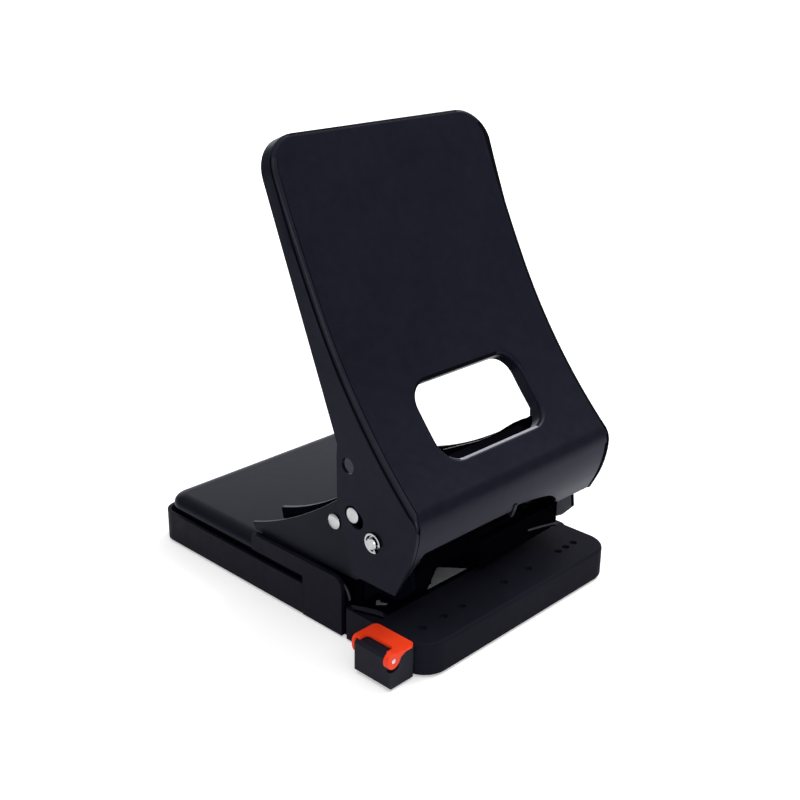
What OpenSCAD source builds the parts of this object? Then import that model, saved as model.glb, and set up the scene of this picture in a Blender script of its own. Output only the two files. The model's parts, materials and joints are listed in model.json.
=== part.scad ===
// Two-hole office punch: a low base with a table in front and an upright pressed-steel lever.
// The front is at -Y, +Z is up, the floor is z = 0 and the origin is the middle of the footprint.

/* [Base] */
// Width over the base and the lever
body_w = 130; // [126:1:140]
// Depth of the base from front to rear
body_d = 180; // [174:1:200]
// Height that the rubber feet lift the base
foot_h = 1; // [0.8:0.1:2]
// Height of the table above the lower edge of the base
table_h = 15; // [14.5:0.5:17]
// Depth of the front block
table_d = 44.3; // [43:0.1:48]
// Gap between the front block and the side walls
block_gap = 2; // [1:0.1:3]
// Height of the side walls above the lower edge of the base
wall_h = 27.5; // [27:0.1:28]
// Thickness of the side walls
wall_t = 2; // [1.6:0.1:2.4]
// Height of the chip tray's walls above the lower edge of the base
tray_h = 15.4; // [13:0.1:16]
// Height of the long slit between the chip tray and the rear cover
slit_h = 4; // [3:0.1:5]
// Height of the rear cover's top above the lower edge of the base
cover_h = 25; // [24.6:0.1:25.4]
// Sheet thickness of the rear cover and the paper stop
cover_t = 1.2; // [0.8:0.1:1.4]
// Front corner radius of the table, seen from above
table_corner_r = 12; // [8:0.5:16]
// Radius of the table's upper edge
table_edge_r = 4; // [2:0.5:5]

/* [Punching] */
// Distance between the two holes
hole_pitch = 80; // [78:0.5:82]
// Diameter of a punched hole
hole_d = 6; // [5:0.1:6.5]
// Distance from the paper's edge to the hole centres
edge_dist = 12; // [11.5:0.1:12.5]
// Height of the paper gap above the table
paper_gap = 8.6; // [7:0.1:9]
// Downward travel of the punches
stroke = 12.7; // [12:0.1:13.2]
// Thickness of the die plate
die_t = 4.4; // [3.5:0.1:5]
// Height of the punch guide
guide_h = 8; // [6:0.5:9]

/* [Pivots] */
// Height of the lever's pivot above the lower edge of the base
pivot_h = 52.8; // [52:0.1:54]
// Distance of the pivot in front of the punches
pivot_ahead = 4.3; // [3.8:0.1:4.8]
// Distance of the drive bar behind the pivot
drive_reach = 12.5; // [12:0.1:13]
// Height of the drive bar above the pivot at rest
drive_rise = 7.9; // [7.5:0.1:8.3]
// Diameter of the drive bar
drive_d = 7; // [6:0.1:7.4]
// Distance of the tie rod behind the pivot
tie_reach = 26.8; // [26:0.1:28]
// Diameter of the tie rod and the pivot pins
pin_d = 6; // [5:0.1:6.4]

/* [Lever] */
// Height of the lever's top above its pivot
lever_h = 156.7; // [150:0.5:165]
// Sheet thickness of the lever
lever_t = 1.6; // [1.2:0.1:2]
// Corner radius at the lever's top
lever_corner_r = 16; // [10:0.5:22]
// Depth of the rim at the lever's top
rim_d = 7; // [5:0.5:10]
// Width of the finger window
window_w = 67; // [55:1:76]
// Length of the finger window along the face
window_l = 35.6; // [28:0.2:38]
// Corner radius of the finger window
window_r = 10; // [6:0.5:13]
// Depth of the turned-in rim of the finger window
window_rim = 4; // [3:0.5:5]
// Diameter of the open hole in each flange
flange_hole_d = 7; // [5:0.5:8]

/* [Paper guide] */
// Width of the guide ruler
ruler_w = 17.6; // [14:0.2:18]
// Thickness of the guide ruler
ruler_t = 2.5; // [2:0.1:3]
// Gap between the guide ruler's inner end and the end of its channel
ruler_gap = 0.5; // [0.3:0.1:2]
// Width of the end block outside the base
end_w = 13.5; // [12:0.5:16]
// Thickness of the stop flap
flap_t = 1.8; // [1.4:0.1:2.2]

/* [Hidden] */
$fn = 48;

// Clearances: a fixed fit, a running fit, a loose guide and a gap between moving plates
fixed_fit = 0.02;
running_fit = 0.05;
guide_gap = 0.3;
plate_gap = 1.8;
eps = 0.01;

// Main planes and axes
half = body_w / 2;
front_y = -body_d / 2;
rear_y = body_d / 2;
base_z = foot_h;
table_z = base_z + table_h;
block_rear_y = front_y + table_d;
stop_y = block_rear_y + block_gap;
punch_x = hole_pitch / 2;
punch_y = stop_y - edge_dist;
pivot_y = punch_y - pivot_ahead;
pivot_z = base_z + pivot_h;
drive_y = pivot_y + drive_reach;
drive_z = pivot_z + drive_rise;
tie_y = pivot_y + tie_reach;
tie_z = pivot_z - 1.2;
pin_r = pin_d / 2;
drive_r = drive_d / 2;
punch_r = hole_d / 2;

// Places across the width: lever flange, cheek plate and frame plate
flange_in = half - lever_t;
cheek_t = 1.6;
cheek_out = flange_in - plate_gap;
cheek_in = cheek_out - cheek_t;
frame_t = 2.5;
frame_out = cheek_in - 4;
frame_in = frame_out - frame_t;

// Levels in the base
floor_t = 1.4;
floor_z = base_z + floor_t;
die_step = 0.6;
die_z = table_z - die_step;
die_low = die_z - die_t;
table_rear_y = punch_y - pivot_ahead;
guide_low = table_z + paper_gap;
guide_top = guide_low + guide_h;
tip_z = guide_low + 0.4;
wall_z = base_z + wall_h;
tray_z = base_z + tray_h;
slit_z = tray_z + slit_h;
cover_z = base_z + cover_h;
foot_l = 28.1;
arm_l = 62.7;
foot_rear_y = stop_y + foot_l;
arm_rear_y = stop_y + arm_l;

// Yoke that carries the punches on the drive bar
yoke_half = frame_in - 3.5;
shelf_t = 4;
shelf_z = drive_z - drive_r - 2.2 - shelf_t;
punch_head_h = 2;

// Return springs round the punches
spring_wire = 0.9;
spring_r = 5;
spring_turns = 6;
spring_sides = 6;
spring_rings = 8;

// Drawer, paper guide and flap
tray_play = 0.5;
tray_wall = 1.8;
tongue_half = yoke_half - 4;
ledge_in = tongue_half + 2;
ruler_y = front_y + 16.5;
ruler_z = base_z + 4;
channel_end = half - 6;
end_out = half + 0.5 + end_w;
end_half = 10;
end_top = table_z;
flap_pin_r = 1.5;
flap_pin_x = end_out - 2;
flap_pin_z = end_top - 2.2;
flap_low = end_top + 0.3;

// Points along an arc or a quadratic curve
function arc(c, r, a0, a1, n) =
    [for (i = [0:n]) let (a = a0 + (a1 - a0) * i / n) c + r * [cos(a), sin(a)]];
function curve(p, q, s, n) =
    [for (i = [0:n]) let (t = i / n) (1 - t) * (1 - t) * p + 2 * t * (1 - t) * q + t * t * s];
function flip(list) = [for (i = [len(list) - 1:-1:0]) list[i]];

// Lever face: leaning angles from the vertical where its curves meet, and the crease's place from the pivot
lean_mid = 27.8;
lean_low = 46;
lean_lip = -3;
lean_end = -27;
face_upper_r = 754;
face_lower_r = 276;
crease_r = 9.5;
lip_r = 50;
face_steps = 10;
lip_drop = 12.2;
crease_ahead = 20.8;
crease_h = 20.1;
bow_low = [pivot_y - crease_ahead, pivot_z + crease_h];
bow_mid = bow_low + face_lower_r * [cos(lean_mid) - cos(lean_low), sin(lean_low) - sin(lean_mid)];
lean_top = asin(sin(lean_mid) - (pivot_z + lever_h - bow_mid[1]) / face_upper_r);
face_top = [bow_mid[0] + face_upper_r * (cos(lean_top) - cos(lean_mid)), pivot_z + lever_h];

// A stretch of constant radius on the face, from one lean to another, pushed in by depth
function bow(p, r, from, to, depth, n) =
    let (s = to > from ? 1 : -1)
    [for (i = [0:n]) let (a = from + (to - from) * i / n)
        p + s * r * [cos(a) - cos(from), sin(from) - sin(a)] + depth * [cos(a), -sin(a)]];
function last(list) = list[len(list) - 1];

bow_lip = last(bow(bow_low, crease_r, lean_low, lean_lip, 0, 1));
bow_end = last(bow(bow_lip, lip_r, lean_lip, lean_end, 0, 1));
lip_lean = -asin(sin(-lean_lip) + lip_drop / lip_r);

function face_line(depth, end) = concat(
    bow(face_top, face_upper_r, lean_top, lean_mid, depth, face_steps),
    bow(bow_mid, face_lower_r, lean_mid, lean_low, depth, face_steps),
    bow(bow_low, crease_r, lean_low, lean_lip, depth, face_steps),
    bow(bow_lip, lip_r, lean_lip, end, depth, face_steps)
);

flange_low = pivot_z - 19.8;
flange_front = bow_end[0] + (bow_end[1] - flange_low) * tan(-lean_end);
flange_rear = [
    [pivot_y + 13, flange_low],
    [pivot_y + 21.7, pivot_z + 11.8],
    [pivot_y + 21.7, pivot_z + 38],
    face_top + rim_d * [cos(lean_top), -sin(lean_top)]
];
window_lean = 39.6;
window_mid = last(bow(bow_mid, face_lower_r, lean_mid, window_lean, 0, 1));
flange_hole = [pivot_y + 15.2, pivot_z + 29.3];
rest_angle = atan2(drive_rise, drive_reach);
slot_out = norm([drive_reach, drive_rise]);
slot_gap = 0.5;
slot_way = [cos(rest_angle), sin(rest_angle)];

// Draws a (y, z) outline as a plate that starts at x and is t thick
module slab(x, t) {
    translate([x, 0, 0]) rotate([90, 0, 90]) linear_extrude(t) children();
}

// Draws the right-hand piece, or its mirror image on the left
module side(s) {
    if (s > 0) children();
    else mirror([1, 0, 0]) children();
}

// Round bar along X from x0 to x1
module x_bar(x0, x1, y, z, r) {
    translate([x0, y, z]) rotate([0, 90, 0]) cylinder(h = x1 - x0, r = r);
}

// Round bar along Y from y0 to y1
module y_bar(y0, y1, x, z, r) {
    translate([x, y0, z]) rotate([-90, 0, 0]) cylinder(h = y1 - y0, r = r);
}

// Box between two corners
module box(a, b) {
    translate(a) cube(b - a);
}

// Slot of width 2r between two points of a flat outline
module slot_shape(a, b, r) {
    translate(a) circle(r);
    translate(b) circle(r);
    translate(a) rotate(atan2(b[1] - a[1], b[0] - a[0])) translate([0, -r]) square([norm(b - a), 2 * r]);
}

// Plan outline with its own corner radii at the front and the rear
module plan(w, y0, y1, rf, rr) {
    for (s = [-1, 1]) {
        translate([s * (w / 2 - rf), y0 + rf]) circle(rf);
        translate([s * (w / 2 - rr), y1 - rr]) circle(rr);
    }
    translate([-w / 2, y0 + rf]) square([w, y1 - rr - y0 - rf]);
    translate([rf - w / 2, y0]) square([w - 2 * rf, rf]);
    translate([rr - w / 2, y1 - rr]) square([w - 2 * rr, rr]);
}

// Upright post with a rounded upper edge: edge[0] wide and edge[1] high
module post(r, edge, z0, z1) {
    bend = [for (a = [0:18:90]) [r - edge[0] * (1 - cos(a)), z1 - edge[1] * (1 - sin(a))]];
    rotate_extrude($fn = 32) polygon(concat([[0, z0], [r, z0]], bend, [[0, z1]]));
}

// Block with rounded upright corners and a rounded upper edge
module soft_block(w, y0, y1, rf, rr, edge, z0, z1) {
    hull()
        for (s = [-1, 1]) {
            translate([s * (w / 2 - rf), y0 + rf, 0]) post(rf, edge, z0, z1);
            translate([s * (w / 2 - rr), y1 - rr, 0]) post(rr, edge, z0, z1);
        }
}

// Sheet floor under the tray, with a tongue into the front block
module floor_plate() {
    color("#2a2b30") {
        box([-frame_out, table_rear_y + 1, base_z], [frame_out, foot_rear_y + 1, floor_z]);
        translate([0, 0, base_z]) linear_extrude(floor_t)
            plan(2 * wall_in - 0.8, foot_rear_y + 1, rear_y - 2.6, 0.5, tray_corner_r - tray_wall);
    }
}

// Marks on the table, as distances from the middle
dimple_x = [-53, -punch_x, -28.5, 0, 17.5, punch_x, 46, 52];
dimple_y = front_y + 13.2;
dimple_r = 1.4;
dimple_deep = 0.8;
table_rear_r = table_edge_r + 0.5;
notch_half = frame_out + 0.5;

// Moulded front block with the table, the ruler's channel and the notch for the die plate
module front_block() {
    color("#1e1f24")
        difference() {
            soft_block(body_w, front_y, block_rear_y, table_corner_r, table_rear_r,
                [table_edge_r, table_edge_r], base_z, table_z);
            box([-notch_half, table_rear_y, base_z - 1], [notch_half, block_rear_y + 1, table_z + 1]);
            box([-half - 1, ruler_y - ruler_w / 2 - guide_gap, ruler_z - guide_gap],
                [channel_end, ruler_y + ruler_w / 2 + guide_gap, ruler_z + ruler_t + guide_gap]);
            for (x = dimple_x)
                translate([x, dimple_y, table_z - dimple_deep]) cylinder(h = dimple_deep + 1, r = dimple_r);
        }
}

strip_half_x = frame_out - 8;
strip_half_y = 6;

// Three rubber strips under the base
module rubber_feet() {
    color("#101012")
        for (y = [front_y + 16, 0, rear_y - 15])
            box([-strip_half_x, y - strip_half_y, 0], [strip_half_x, y + strip_half_y, base_z]);
}

screw_r = 1.5;
frame_screw_x = frame_in - 2.2;
frame_screw_y = [stop_y + 8, stop_y + 21];

// Thick steel plate under the paper, with the die bushes and the frame's feet on it
module die_plate() {
    color("#55565c")
        difference() {
            box([-frame_out, table_rear_y + 0.4, die_low], [frame_out, foot_rear_y - 0.4, die_z]);
            for (s = [-1, 1]) {
                translate([s * punch_x, punch_y, die_low - 1])
                    cylinder(h = die_t + 2, r = bush_r + fixed_fit);
                for (y = frame_screw_y)
                    translate([s * frame_screw_x, y, die_low - 1])
                        cylinder(h = die_t + 2, r = screw_r + fixed_fit);
            }
        }
}

bush_r = 4.2;
die_gap = 0.1;

// Hardened bushes that the punches cut against
module die_bushes() {
    color("#b8b9bd")
        for (s = [-1, 1])
            translate([s * punch_x, punch_y, die_low])
                difference() {
                    cylinder(h = die_t, r = bush_r);
                    translate([0, 0, -1]) cylinder(h = die_t + 2, r = punch_r + die_gap);
                }
}

stop_half = frame_in - 0.2;

// Angled sheet behind the punches that stops the paper and closes the housing in front
module paper_stop() {
    color("#1b1c21") {
        box([-stop_half, stop_y, die_z], [stop_half, stop_y + cover_t, cover_z]);
        box([-stop_half, stop_y + cover_t, cover_z - cover_t], [stop_half, foot_rear_y - 0.2, cover_z]);
    }
}

wall_corner_r = 5;
wall_in = half - wall_t;
under_z = cover_z - cover_t;

// Front part of a side wall, with the ledge under the die plate and the arm over the slit
module side_foot(s) {
    wall = concat(
        [[stop_y, base_z], [foot_rear_y, base_z], [foot_rear_y, slit_z]],
        [[arm_rear_y, slit_z], [arm_rear_y, wall_z]],
        arc([stop_y + wall_corner_r, wall_z - wall_corner_r], wall_corner_r, 90, 180, 8)
    );
    color("#22232a")
        side(s) {
            slab(wall_in, wall_t) polygon(wall);
            difference() {
                box([ledge_in, stop_y + 0.2, floor_z], [wall_in, foot_rear_y - 0.4, die_low]);
                for (y = frame_screw_y)
                    translate([frame_screw_x, y, floor_z + 2]) cylinder(h = die_low, r = screw_r + fixed_fit);
            }
            box([notch_half, stop_y + wall_corner_r, under_z], [wall_in, foot_rear_y - 0.2, cover_z]);
            box([notch_half, foot_rear_y, under_z - cover_t - 0.3], [wall_in, arm_rear_y, under_z]);
        }
}

boss_r = 9;
drive_top_z = drive_z + drive_r + 4.5;
slot_low_z = drive_z - stroke - guide_gap;

// Part of a plate's outline that both plates share: over the drive bar's slot and round the pivot
top_edge = [
    [drive_y + 3.5, drive_top_z],
    [drive_y - 4, drive_top_z],
    [pivot_y - boss_r * cos(34), pivot_z + boss_r * sin(34)]
];

module plate_holes() {
    translate([tie_y, tie_z]) circle(pin_r + fixed_fit);
    translate([pivot_y, pivot_z]) circle(pin_r + fixed_fit);
    slot_shape([drive_y, slot_low_z], [drive_y, drive_z + guide_gap], drive_r + guide_gap);
}

guide_front_y = punch_y - 9.3;
guide_rear_y = punch_y + 8.7;
guide_screw_z = (guide_low + guide_top) / 2;
guide_screw_in = (frame_in + punch_x + punch_r) / 2;

// Inner frame plate that stands on the die plate and holds the punch guide and the pivots
module frame(s) {
    tail = [stop_y + 51.7, base_z + 41.7];
    lap = 0.3;
    outline = concat(
        [[stop_y + lap, die_z], [foot_rear_y - 0.9, die_z], [foot_rear_y - 0.9, cover_z + 4], tail - [1, 5]],
        curve(tail, [drive_y + 31.5, base_z + 48.8], [drive_y + 7.5, drive_top_z - 1.5], 8),
        top_edge,
        [[pivot_y - boss_r, pivot_z], [guide_front_y, guide_low], [stop_y + lap, guide_low]]
    );
    color("#17181c")
        side(s) {
            difference() {
                union() {
                    slab(frame_in, frame_t) polygon(outline);
                    x_bar(frame_in, frame_out, pivot_y, pivot_z, boss_r);
                }
                slab(frame_in - 1, frame_t + 2) plate_holes();
                x_bar(frame_in - 1, frame_out + 1, punch_y, guide_screw_z, screw_r + fixed_fit);
            }
            difference() {
                box([frame_in - 9, stop_y + 2.2, die_z], [frame_in, foot_rear_y - 1.5, die_z + 2]);
                for (y = frame_screw_y)
                    translate([frame_screw_x, y, die_z - 1]) cylinder(h = 4, r = screw_r + fixed_fit);
            }
        }
}

// Outer cheek plate with its long tail beside the lever's flange
module cheek(s) {
    tip = [stop_y + 65.7, base_z + 31.2];
    low_z = wall_z + 0.9;
    outline = concat(
        [[pivot_y + 14, low_z], [tip[0] - 2, low_z - 0.6]],
        curve(tip, [drive_y + 38, base_z + 41.4], [drive_y + 6.5, drive_top_z - 1.5], 10),
        top_edge,
        [[pivot_y - boss_r, pivot_z], [pivot_y - 5.5, pivot_z - 13.5]]
    );
    color("#24252c")
        side(s)
            difference() {
                union() {
                    slab(cheek_in, cheek_t) polygon(outline);
                    x_bar(cheek_in, cheek_out, pivot_y, pivot_z, boss_r);
                }
                slab(cheek_in - 1, cheek_t + 2) plate_holes();
            }
}

// Screws that hold the frame plates and the die plate to the side feet
module frame_screws() {
    color("#9a9ba0")
        for (s = [-1, 1], y = frame_screw_y)
            translate([s * frame_screw_x, y, 0]) {
                translate([0, 0, floor_z + 4]) cylinder(h = die_z + 2 - floor_z - 4, r = screw_r);
                translate([0, 0, die_z + 2]) cylinder(h = 1.8, r = 2);
            }
}

// Screws that hold the punch guide between the frame plates
module guide_screws() {
    color("#9a9ba0")
        for (s = [-1, 1])
            side(s) {
                x_bar(guide_screw_in, frame_out, punch_y, guide_screw_z, screw_r);
                x_bar(frame_out, frame_out + 1.8, punch_y, guide_screw_z, 2.8);
            }
}

// Black bar between the frame plates that guides the punches and strips the paper
module punch_guide() {
    relief_half = punch_x - 11;
    color("#131418")
        difference() {
            box([-frame_in, guide_front_y, guide_low], [frame_in, guide_rear_y, guide_top]);
            box([-relief_half, guide_front_y - 1, guide_low - 1],
                [relief_half, guide_rear_y + 1, guide_low + 3]);
            for (s = [-1, 1]) {
                translate([s * punch_x, punch_y, guide_low - 1])
                    cylinder(h = guide_h + 2, r = punch_r + running_fit);
                side(s)
                    x_bar(guide_screw_in - 0.5, frame_in + 1, punch_y, guide_screw_z, screw_r + fixed_fit);
            }
        }
}

head_t = 1;

// Rod that ties the plates of both sides together, with a low head on each end
module tie_rod() {
    color("#b5b6ba") {
        x_bar(-cheek_out, cheek_out, tie_y, tie_z, pin_r);
        for (s = [-1, 1])
            side(s) x_bar(cheek_out, cheek_out + head_t, tie_y, tie_z, pin_r + 0.5);
    }
}

// Tubes that keep each cheek clear of its frame plate
module plate_spacers() {
    color("#6e6f75")
        for (s = [-1, 1], p = [[tie_y, tie_z], [pivot_y, pivot_z]])
            side(s)
                difference() {
                    x_bar(frame_out, cheek_in, p[0], p[1], pin_r + 2);
                    x_bar(frame_out - 1, cheek_in + 1, p[0], p[1], pin_r + fixed_fit);
                }
}

clip_t = 0.9;
groove_r = pin_r - 0.6;
clip_x = half + 0.15;

// Short pivot pin through the frame plate, the cheek and the lever's flange
module pivot_pin(s) {
    color("#c4c5c9")
        side(s)
            difference() {
                union() {
                    x_bar(frame_in - 2, frame_in, pivot_y, pivot_z, pin_r + 1.5);
                    x_bar(frame_in, clip_x + clip_t + 0.9, pivot_y, pivot_z, pin_r);
                }
                difference() {
                    x_bar(clip_x - 0.05, clip_x + clip_t + 0.05, pivot_y, pivot_z, pin_r + 1);
                    x_bar(clip_x - 1, clip_x + clip_t + 1, pivot_y, pivot_z, groove_r);
                }
            }
}

// Washers between the cheeks and the lever's flanges
module pivot_washers() {
    color("#1a1b1f")
        for (s = [-1, 1])
            side(s)
                difference() {
                    x_bar(cheek_out + 0.05, flange_in - 0.1, pivot_y, pivot_z, pin_r + 2.4);
                    x_bar(cheek_out - 1, flange_in + 1, pivot_y, pivot_z, pin_r + fixed_fit);
                }
}

// Spring clips in the grooves of the pivot pins, open on one side
module e_clips() {
    color("#d0d1d4")
        for (s = [-1, 1])
            side(s)
                difference() {
                    x_bar(clip_x, clip_x + clip_t, pivot_y, pivot_z, pin_r + 1.4);
                    x_bar(clip_x - 1, clip_x + clip_t + 1, pivot_y, pivot_z, groove_r + fixed_fit);
                    translate([clip_x - 1, pivot_y, pivot_z]) rotate([-30, 0, 0])
                        translate([0, -pin_r - 3, 1.2 - groove_r])
                            cube([clip_t + 2, pin_r + 3, 2 * groove_r - 2.4]);
                }
}

cover_r = 10;
cover_edge = [7, min(5, cover_z - slit_z - 0.2)];
cover_side_in = 0.5;
cover_rear_in = 4.5;

// Pressed steel cover with rolled edges over the chip tray, and a flat tongue towards the lever
module rear_cover() {
    front = arm_rear_y + 0.3;
    far = front - 3 * cover_r;
    inner_r = cover_r - cover_t;
    inner_edge = cover_edge - [cover_t, cover_t];
    rear = rear_y - cover_rear_in;
    w = body_w - 2 * cover_side_in;
    color("#3a3b42") {
        difference() {
            soft_block(w, far, rear, cover_r, cover_r, cover_edge, slit_z, cover_z);
            soft_block(w - 2 * cover_t, far, rear - cover_t, inner_r, inner_r, inner_edge,
                slit_z - 1, cover_z - cover_t);
            box([-half - 1, far - 1, base_z], [half + 1, front, wall_z + 2]);
        }
        box([-wall_in + 0.4, foot_rear_y + 0.2, cover_z - cover_t], [wall_in - 0.4, front + eps, cover_z]);
    }
}

tray_corner_r = 8.5;

// Drawer for the chips: the base's rear walls with a tongue that reaches under the die
module chip_tray() {
    low = floor_z + tray_play;
    skirt = base_z + 0.3;
    bottom_t = 1.5;
    inner_w = body_w - 2 * tray_wall;
    front = foot_rear_y + 0.4;
    tongue_front = table_rear_y + 2;
    tongue_top = die_low - 1.4;
    color("#202127") {
        difference() {
            translate([0, 0, skirt]) linear_extrude(tray_z - skirt)
                plan(body_w, front, rear_y, 0.5, tray_corner_r);
            translate([0, 0, low + bottom_t]) linear_extrude(tray_z)
                plan(inner_w, front + tray_wall, rear_y - tray_wall, 0.5, tray_corner_r - tray_wall);
            translate([0, 0, skirt - 1]) linear_extrude(low - skirt + 1)
                plan(inner_w, front - 1, rear_y - tray_wall, 0.5, tray_corner_r - tray_wall);
            box([tray_wall - tongue_half, front - 1, low + bottom_t],
                [tongue_half - tray_wall, front + 3, tray_z + 1]);
        }
        difference() {
            box([-tongue_half, tongue_front, low], [tongue_half, front + eps, tongue_top]);
            box([tray_wall - tongue_half, tongue_front + tray_wall, low + bottom_t],
                [tongue_half - tray_wall, front + 1, tray_z]);
        }
    }
}

// Outline of the lever seen square to its upper face, drawn in by depth, with its top edge at y = 0
module lever_front(depth, reach) {
    r = lever_corner_r - depth;
    w = body_w - 2 * depth;
    for (s = [-1, 1])
        translate([s * (w / 2 - r), -depth - r]) circle(r);
    translate([-w / 2, -reach]) square([w, reach - depth - r]);
    translate([r - w / 2, -depth - r - 1]) square([w - 2 * r, r + 1]);
}

// Prism of that outline, through the lever's whole depth
module lever_prism(depth, reach) {
    translate([0, face_top[0], face_top[1]]) rotate([90 - lean_top, 0, 0])
        linear_extrude(4 * lever_h, center = true) lever_front(depth, reach);
}

// Rounded window outline, w wide and l long
module window_shape(w, l, r) {
    for (x = [r - w / 2, w / 2 - r], y = [r - l / 2, l / 2 - r])
        translate([x, y]) circle(r);
    square([w - 2 * r, l], center = true);
    square([w, l - 2 * r], center = true);
}

// Places a shape on the face at the window, with its own z pointing out of the face
module on_window() {
    translate([0, window_mid[0], window_mid[1]]) rotate([90 - window_lean, 0, 0]) children();
}

relief_w = 2;
rim_t = 1.2;

// Pressed lever: face with a lip, side flanges, rim round the top and the finger window
module lever_shell() {
    flange = concat(face_line(0, lean_end), [[flange_front, flange_low]], flange_rear);
    sheet = concat(face_line(0, lip_lean), flip(face_line(lever_t, lip_lean)));
    color("#25262d")
        difference() {
            union() {
                intersection() {
                    lever_prism(0, 2 * lever_h);
                    slab(-half, body_w) polygon(sheet);
                }
                difference() {
                    intersection() {
                        lever_prism(0, 2 * lever_h);
                        slab(-half, body_w) polygon(flange);
                    }
                    lever_prism(lever_t, 3 * lever_h);
                }
                on_window() translate([0, 0, -window_rim])
                    linear_extrude(window_rim - 0.5)
                        window_shape(window_w + 2 * rim_t, window_l + 2 * rim_t, window_r + rim_t);
            }
            on_window() translate([0, 0, -window_rim - 4])
                linear_extrude(window_rim + 14) window_shape(window_w, window_l, window_r);
            for (s = [-1, 1])
                side(s) {
                    box([flange_in - relief_w, pivot_y - 40, flange_low],
                        [flange_in, pivot_y - 10, bow_low[1]]);
                    x_bar(flange_in - 1, half + 1, pivot_y, pivot_z, pin_r + running_fit);
                    x_bar(flange_in - 1, half + 1, flange_hole[0], flange_hole[1], flange_hole_d / 2);
                    slab(flange_in - 1, lever_t + 2)
                        slot_shape(
                            [pivot_y, pivot_z] + (drive_reach - slot_gap) * slot_way,
                            [pivot_y, pivot_z] + (slot_out + slot_gap) * slot_way,
                            drive_r + slot_gap
                        );
                }
        }
}

// Bar that runs in the lever's slots and in the plates' upright slots
module drive_bar() {
    color("#b9babf") x_bar(-half - 0.2, half + 0.2, drive_y, drive_z, drive_r);
}

// Steel yoke on the drive bar, with a shelf that holds both punches
module punch_yoke() {
    front = punch_y - 5.3;
    shelf_top = shelf_z + shelf_t;
    hub = drive_r + 1.6;
    step = punch_y + punch_r + 1.7;
    color("#3d3e44")
        difference() {
            slab(-yoke_half, 2 * yoke_half)
                polygon([
                    [front, shelf_z], [drive_y + hub, shelf_z], [drive_y + hub, drive_z + hub],
                    [drive_y - hub, drive_z + hub], [drive_y - hub, drive_z - drive_r],
                    [step, drive_z - drive_r], [step, shelf_top], [front, shelf_top]
                ]);
            x_bar(-yoke_half - 1, yoke_half + 1, drive_y, drive_z, drive_r + fixed_fit);
            for (s = [-1, 1])
                translate([s * punch_x, punch_y, shelf_z - 1])
                    cylinder(h = shelf_t + 2, r = punch_r + fixed_fit);
        }
}

// Punch with a notched cutting end and a flat head on the yoke's shelf
module punch(s) {
    shelf_top = shelf_z + shelf_t;
    notch = 1.2;
    color("#d4d5d8")
        difference() {
            translate([s * punch_x, punch_y, 0]) {
                translate([0, 0, tip_z]) cylinder(h = shelf_top - tip_z, r = punch_r);
                translate([0, 0, shelf_top]) cylinder(h = punch_head_h, r = punch_r + 1.4);
            }
            translate([s * punch_x, punch_y, 0]) slab(-punch_r - 1, 2 * punch_r + 2)
                polygon([[-punch_r - 1, tip_z - 1], [punch_r + 1, tip_z - 1], [0, tip_z + notch]]);
        }
}

// Middle line of a return spring, standing on the guide and reaching up to the yoke
spring_low = guide_top + spring_wire / 2 + 0.1;
spring_high = shelf_z - spring_wire / 2 - 0.1;
spring_count = spring_turns * spring_rings;
function spring_point(i) =
    let (a = 360 * i / spring_rings)
    [spring_r * cos(a), spring_r * sin(a), spring_low + (spring_high - spring_low) * i / spring_count];
spring_line = [for (i = [0:spring_count]) spring_point(i)];
spring_self_gap = min([
    for (i = [0:spring_count - spring_rings + 2], j = [i + spring_rings - 2:spring_count])
        norm(spring_line[i] - spring_line[j])
]) - spring_wire;
echo(spring_self_gap = spring_self_gap);

// Coil spring as one tube of short rings
module spring(s) {
    rings = [
        for (i = [0:spring_count], k = [0:spring_sides - 1])
            let (a = 360 * i / spring_rings, b = 360 * k / spring_sides, r = spring_wire / 2)
            spring_line[i] + r * [cos(a) * cos(b), sin(a) * cos(b), sin(b)]
    ];
    walls = [
        for (i = [0:spring_count - 1], k = [0:spring_sides - 1])
            let (m = (k + 1) % spring_sides, p = i * spring_sides, q = p + spring_sides)
            each [[p + k, q + m, q + k], [p + k, p + m, q + m]]
    ];
    top = spring_count * spring_sides;
    ends = [for (k = [1:spring_sides - 2]) each [[0, k + 1, k], [top, top + k, top + k + 1]]];
    color("#8f9095")
        translate([s * punch_x, punch_y, 0]) polyhedron(rings, concat(walls, ends));
}

// Flat ruler that slides to the left in the front block
module guide_ruler() {
    left = half + ruler_deep - 0.1;
    color("#2b2c31")
        difference() {
            box([-left, ruler_y - ruler_w / 2, ruler_z],
                [channel_end - ruler_gap, ruler_y + ruler_w / 2, ruler_z + ruler_t]);
            for (y = ruler_screw_y)
                translate([-ruler_screw_x, y, ruler_z - 1])
                    cylinder(h = ruler_t + 2, r = ruler_screw_r + fixed_fit);
        }
}

ruler_screw_r = 1.2;
ruler_screw_x = half + 6;
ruler_screw_y = [ruler_y - 5, ruler_y + 5];
end_low = base_z + 0.2;
ruler_deep = 10.6;

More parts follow.
